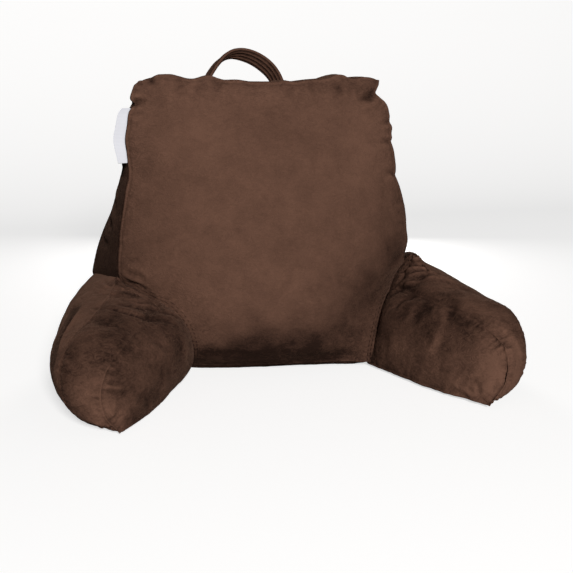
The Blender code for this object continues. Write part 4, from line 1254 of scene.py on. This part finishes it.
class PILLOW_OT_stage(bpy.types.Operator):
    """Set the paper floor, the lights and the photograph's camera"""
    bl_idname = "pillow.stage"
    bl_label = "Stage"

    FLOOR_HALF = 1.6
    WALL_AWAY = 2.2
    WALL_RISE = 3.0
    LIGHTS = (
        # name, place, aim, size, power, colour
        ("key", (-0.15, -4.9, 2.1), (0.0, 0.0, 0.15), 1.2, 304.0, (1.0, 0.98, 0.96)),
        ("back", (0.24, 0.95, 0.16), (0.02, 0.15, 0.19), 0.26, 7.5, (1.0, 0.98, 0.96)),
    )

    def execute(self, context):
        scene = context.scene
        mesh = bmesh.new()
        bmesh.ops.create_grid(mesh, x_segments=1, y_segments=1, size=self.FLOOR_HALF)
        bmesh.ops.scale(mesh, verts=mesh.verts, vec=(2.0, self.WALL_AWAY / self.FLOOR_HALF, 1.0))
        rear = [edge for edge in mesh.edges if all(vert.co.y > 0 for vert in edge.verts)]
        wall = bmesh.ops.extrude_edge_only(mesh, edges=rear)
        bmesh.ops.translate(mesh, verts=[item for item in wall["geom"] if isinstance(item, bmesh.types.BMVert)],
                            vec=(0.0, 0.0, self.WALL_RISE))
        bend = [edge for edge in mesh.edges
                if all(vert.co.y > 0 and abs(vert.co.z) < 1e-6 for vert in edge.verts)]
        bmesh.ops.bevel(mesh, geom=bend, offset=1.0, segments=16, profile=0.5, affect="EDGES", material=-1)
        bmesh.ops.recalc_face_normals(mesh, faces=mesh.faces)
        floor = linked("background_paper", mesh)
        floor.data.materials.append(finish_of("background_paper", paper_finish))
        floor.visible_diffuse = False
        floor.visible_glossy = False

        for name, place, aim, size, power, colour in self.LIGHTS:
            light = bpy.data.lights.new(name, "AREA")
            light.shape = "DISK"
            light.size = size
            light.energy = power
            light.color = colour
            lamp = bpy.data.objects.new(name, light)
            lamp.location = place
            lamp.rotation_euler = (Vector(aim) - Vector(place)).to_track_quat("-Z", "Y").to_euler()
            scene.collection.objects.link(lamp)

        world = bpy.data.worlds.new("studio")
        world.use_nodes = True
        world.node_tree.nodes["Background"].inputs["Color"].default_value = (1.0, 1.0, 1.0, 1.0)
        world.node_tree.nodes["Background"].inputs["Strength"].default_value = 0.05
        scene.world = world

        camera = bpy.data.cameras.new("photograph")
        camera.sensor_width = SENSOR_MM
        camera.lens = FOCAL_PIXELS * SENSOR_MM / FRAME_PIXELS
        back = Vector((math.sin(CAMERA_AZIMUTH) * math.cos(CAMERA_RISE),
                       -math.cos(CAMERA_AZIMUTH) * math.cos(CAMERA_RISE), math.sin(CAMERA_RISE)))
        holder = bpy.data.objects.new("photograph", camera)
        holder.location = CAMERA_AIM + back * CAMERA_AWAY
        holder.rotation_euler = (-back).to_track_quat("-Z", "Y").to_euler()
        scene.collection.objects.link(holder)
        scene.camera = holder
        scene.view_settings.view_transform = "Standard"
        return {"FINISHED"}


class PILLOW_PT_sidebar(bpy.types.Panel):
    """The pillow's sizes, colours and pieces"""
    bl_idname = "PILLOW_PT_sidebar"
    bl_label = "Reading pillow"
    bl_space_type = "VIEW_3D"
    bl_region_type = "UI"
    bl_category = "Pillow"

    def draw(self, context):
        for group in (context.scene.pillow_sizes, context.scene.pillow_colours):
            for name in group.__annotations__:
                self.layout.prop(group, name)
        for piece in OPERATORS:
            self.layout.operator(piece.bl_idname)


OPERATORS = (PILLOW_OT_stage, PILLOW_OT_backrest, PILLOW_OT_arms, PILLOW_OT_handle, PILLOW_OT_label)
CLASSES = (PillowSizes, PillowColours, *OPERATORS, PILLOW_PT_sidebar)


def register():
    for kind in CLASSES:
        bpy.utils.register_class(kind)
    bpy.types.Scene.pillow_sizes = bpy.props.PointerProperty(type=PillowSizes)
    bpy.types.Scene.pillow_colours = bpy.props.PointerProperty(type=PillowColours)


def unregister():
    del bpy.types.Scene.pillow_sizes
    del bpy.types.Scene.pillow_colours
    for kind in reversed(CLASSES):
        bpy.utils.unregister_class(kind)


def main():
    """Build every piece."""
    register()
    bpy.ops.pillow.stage()
    bpy.ops.pillow.backrest()
    bpy.ops.pillow.arms()
    bpy.ops.pillow.handle()
    bpy.ops.pillow.label()


if __name__ == "__main__":
    main()
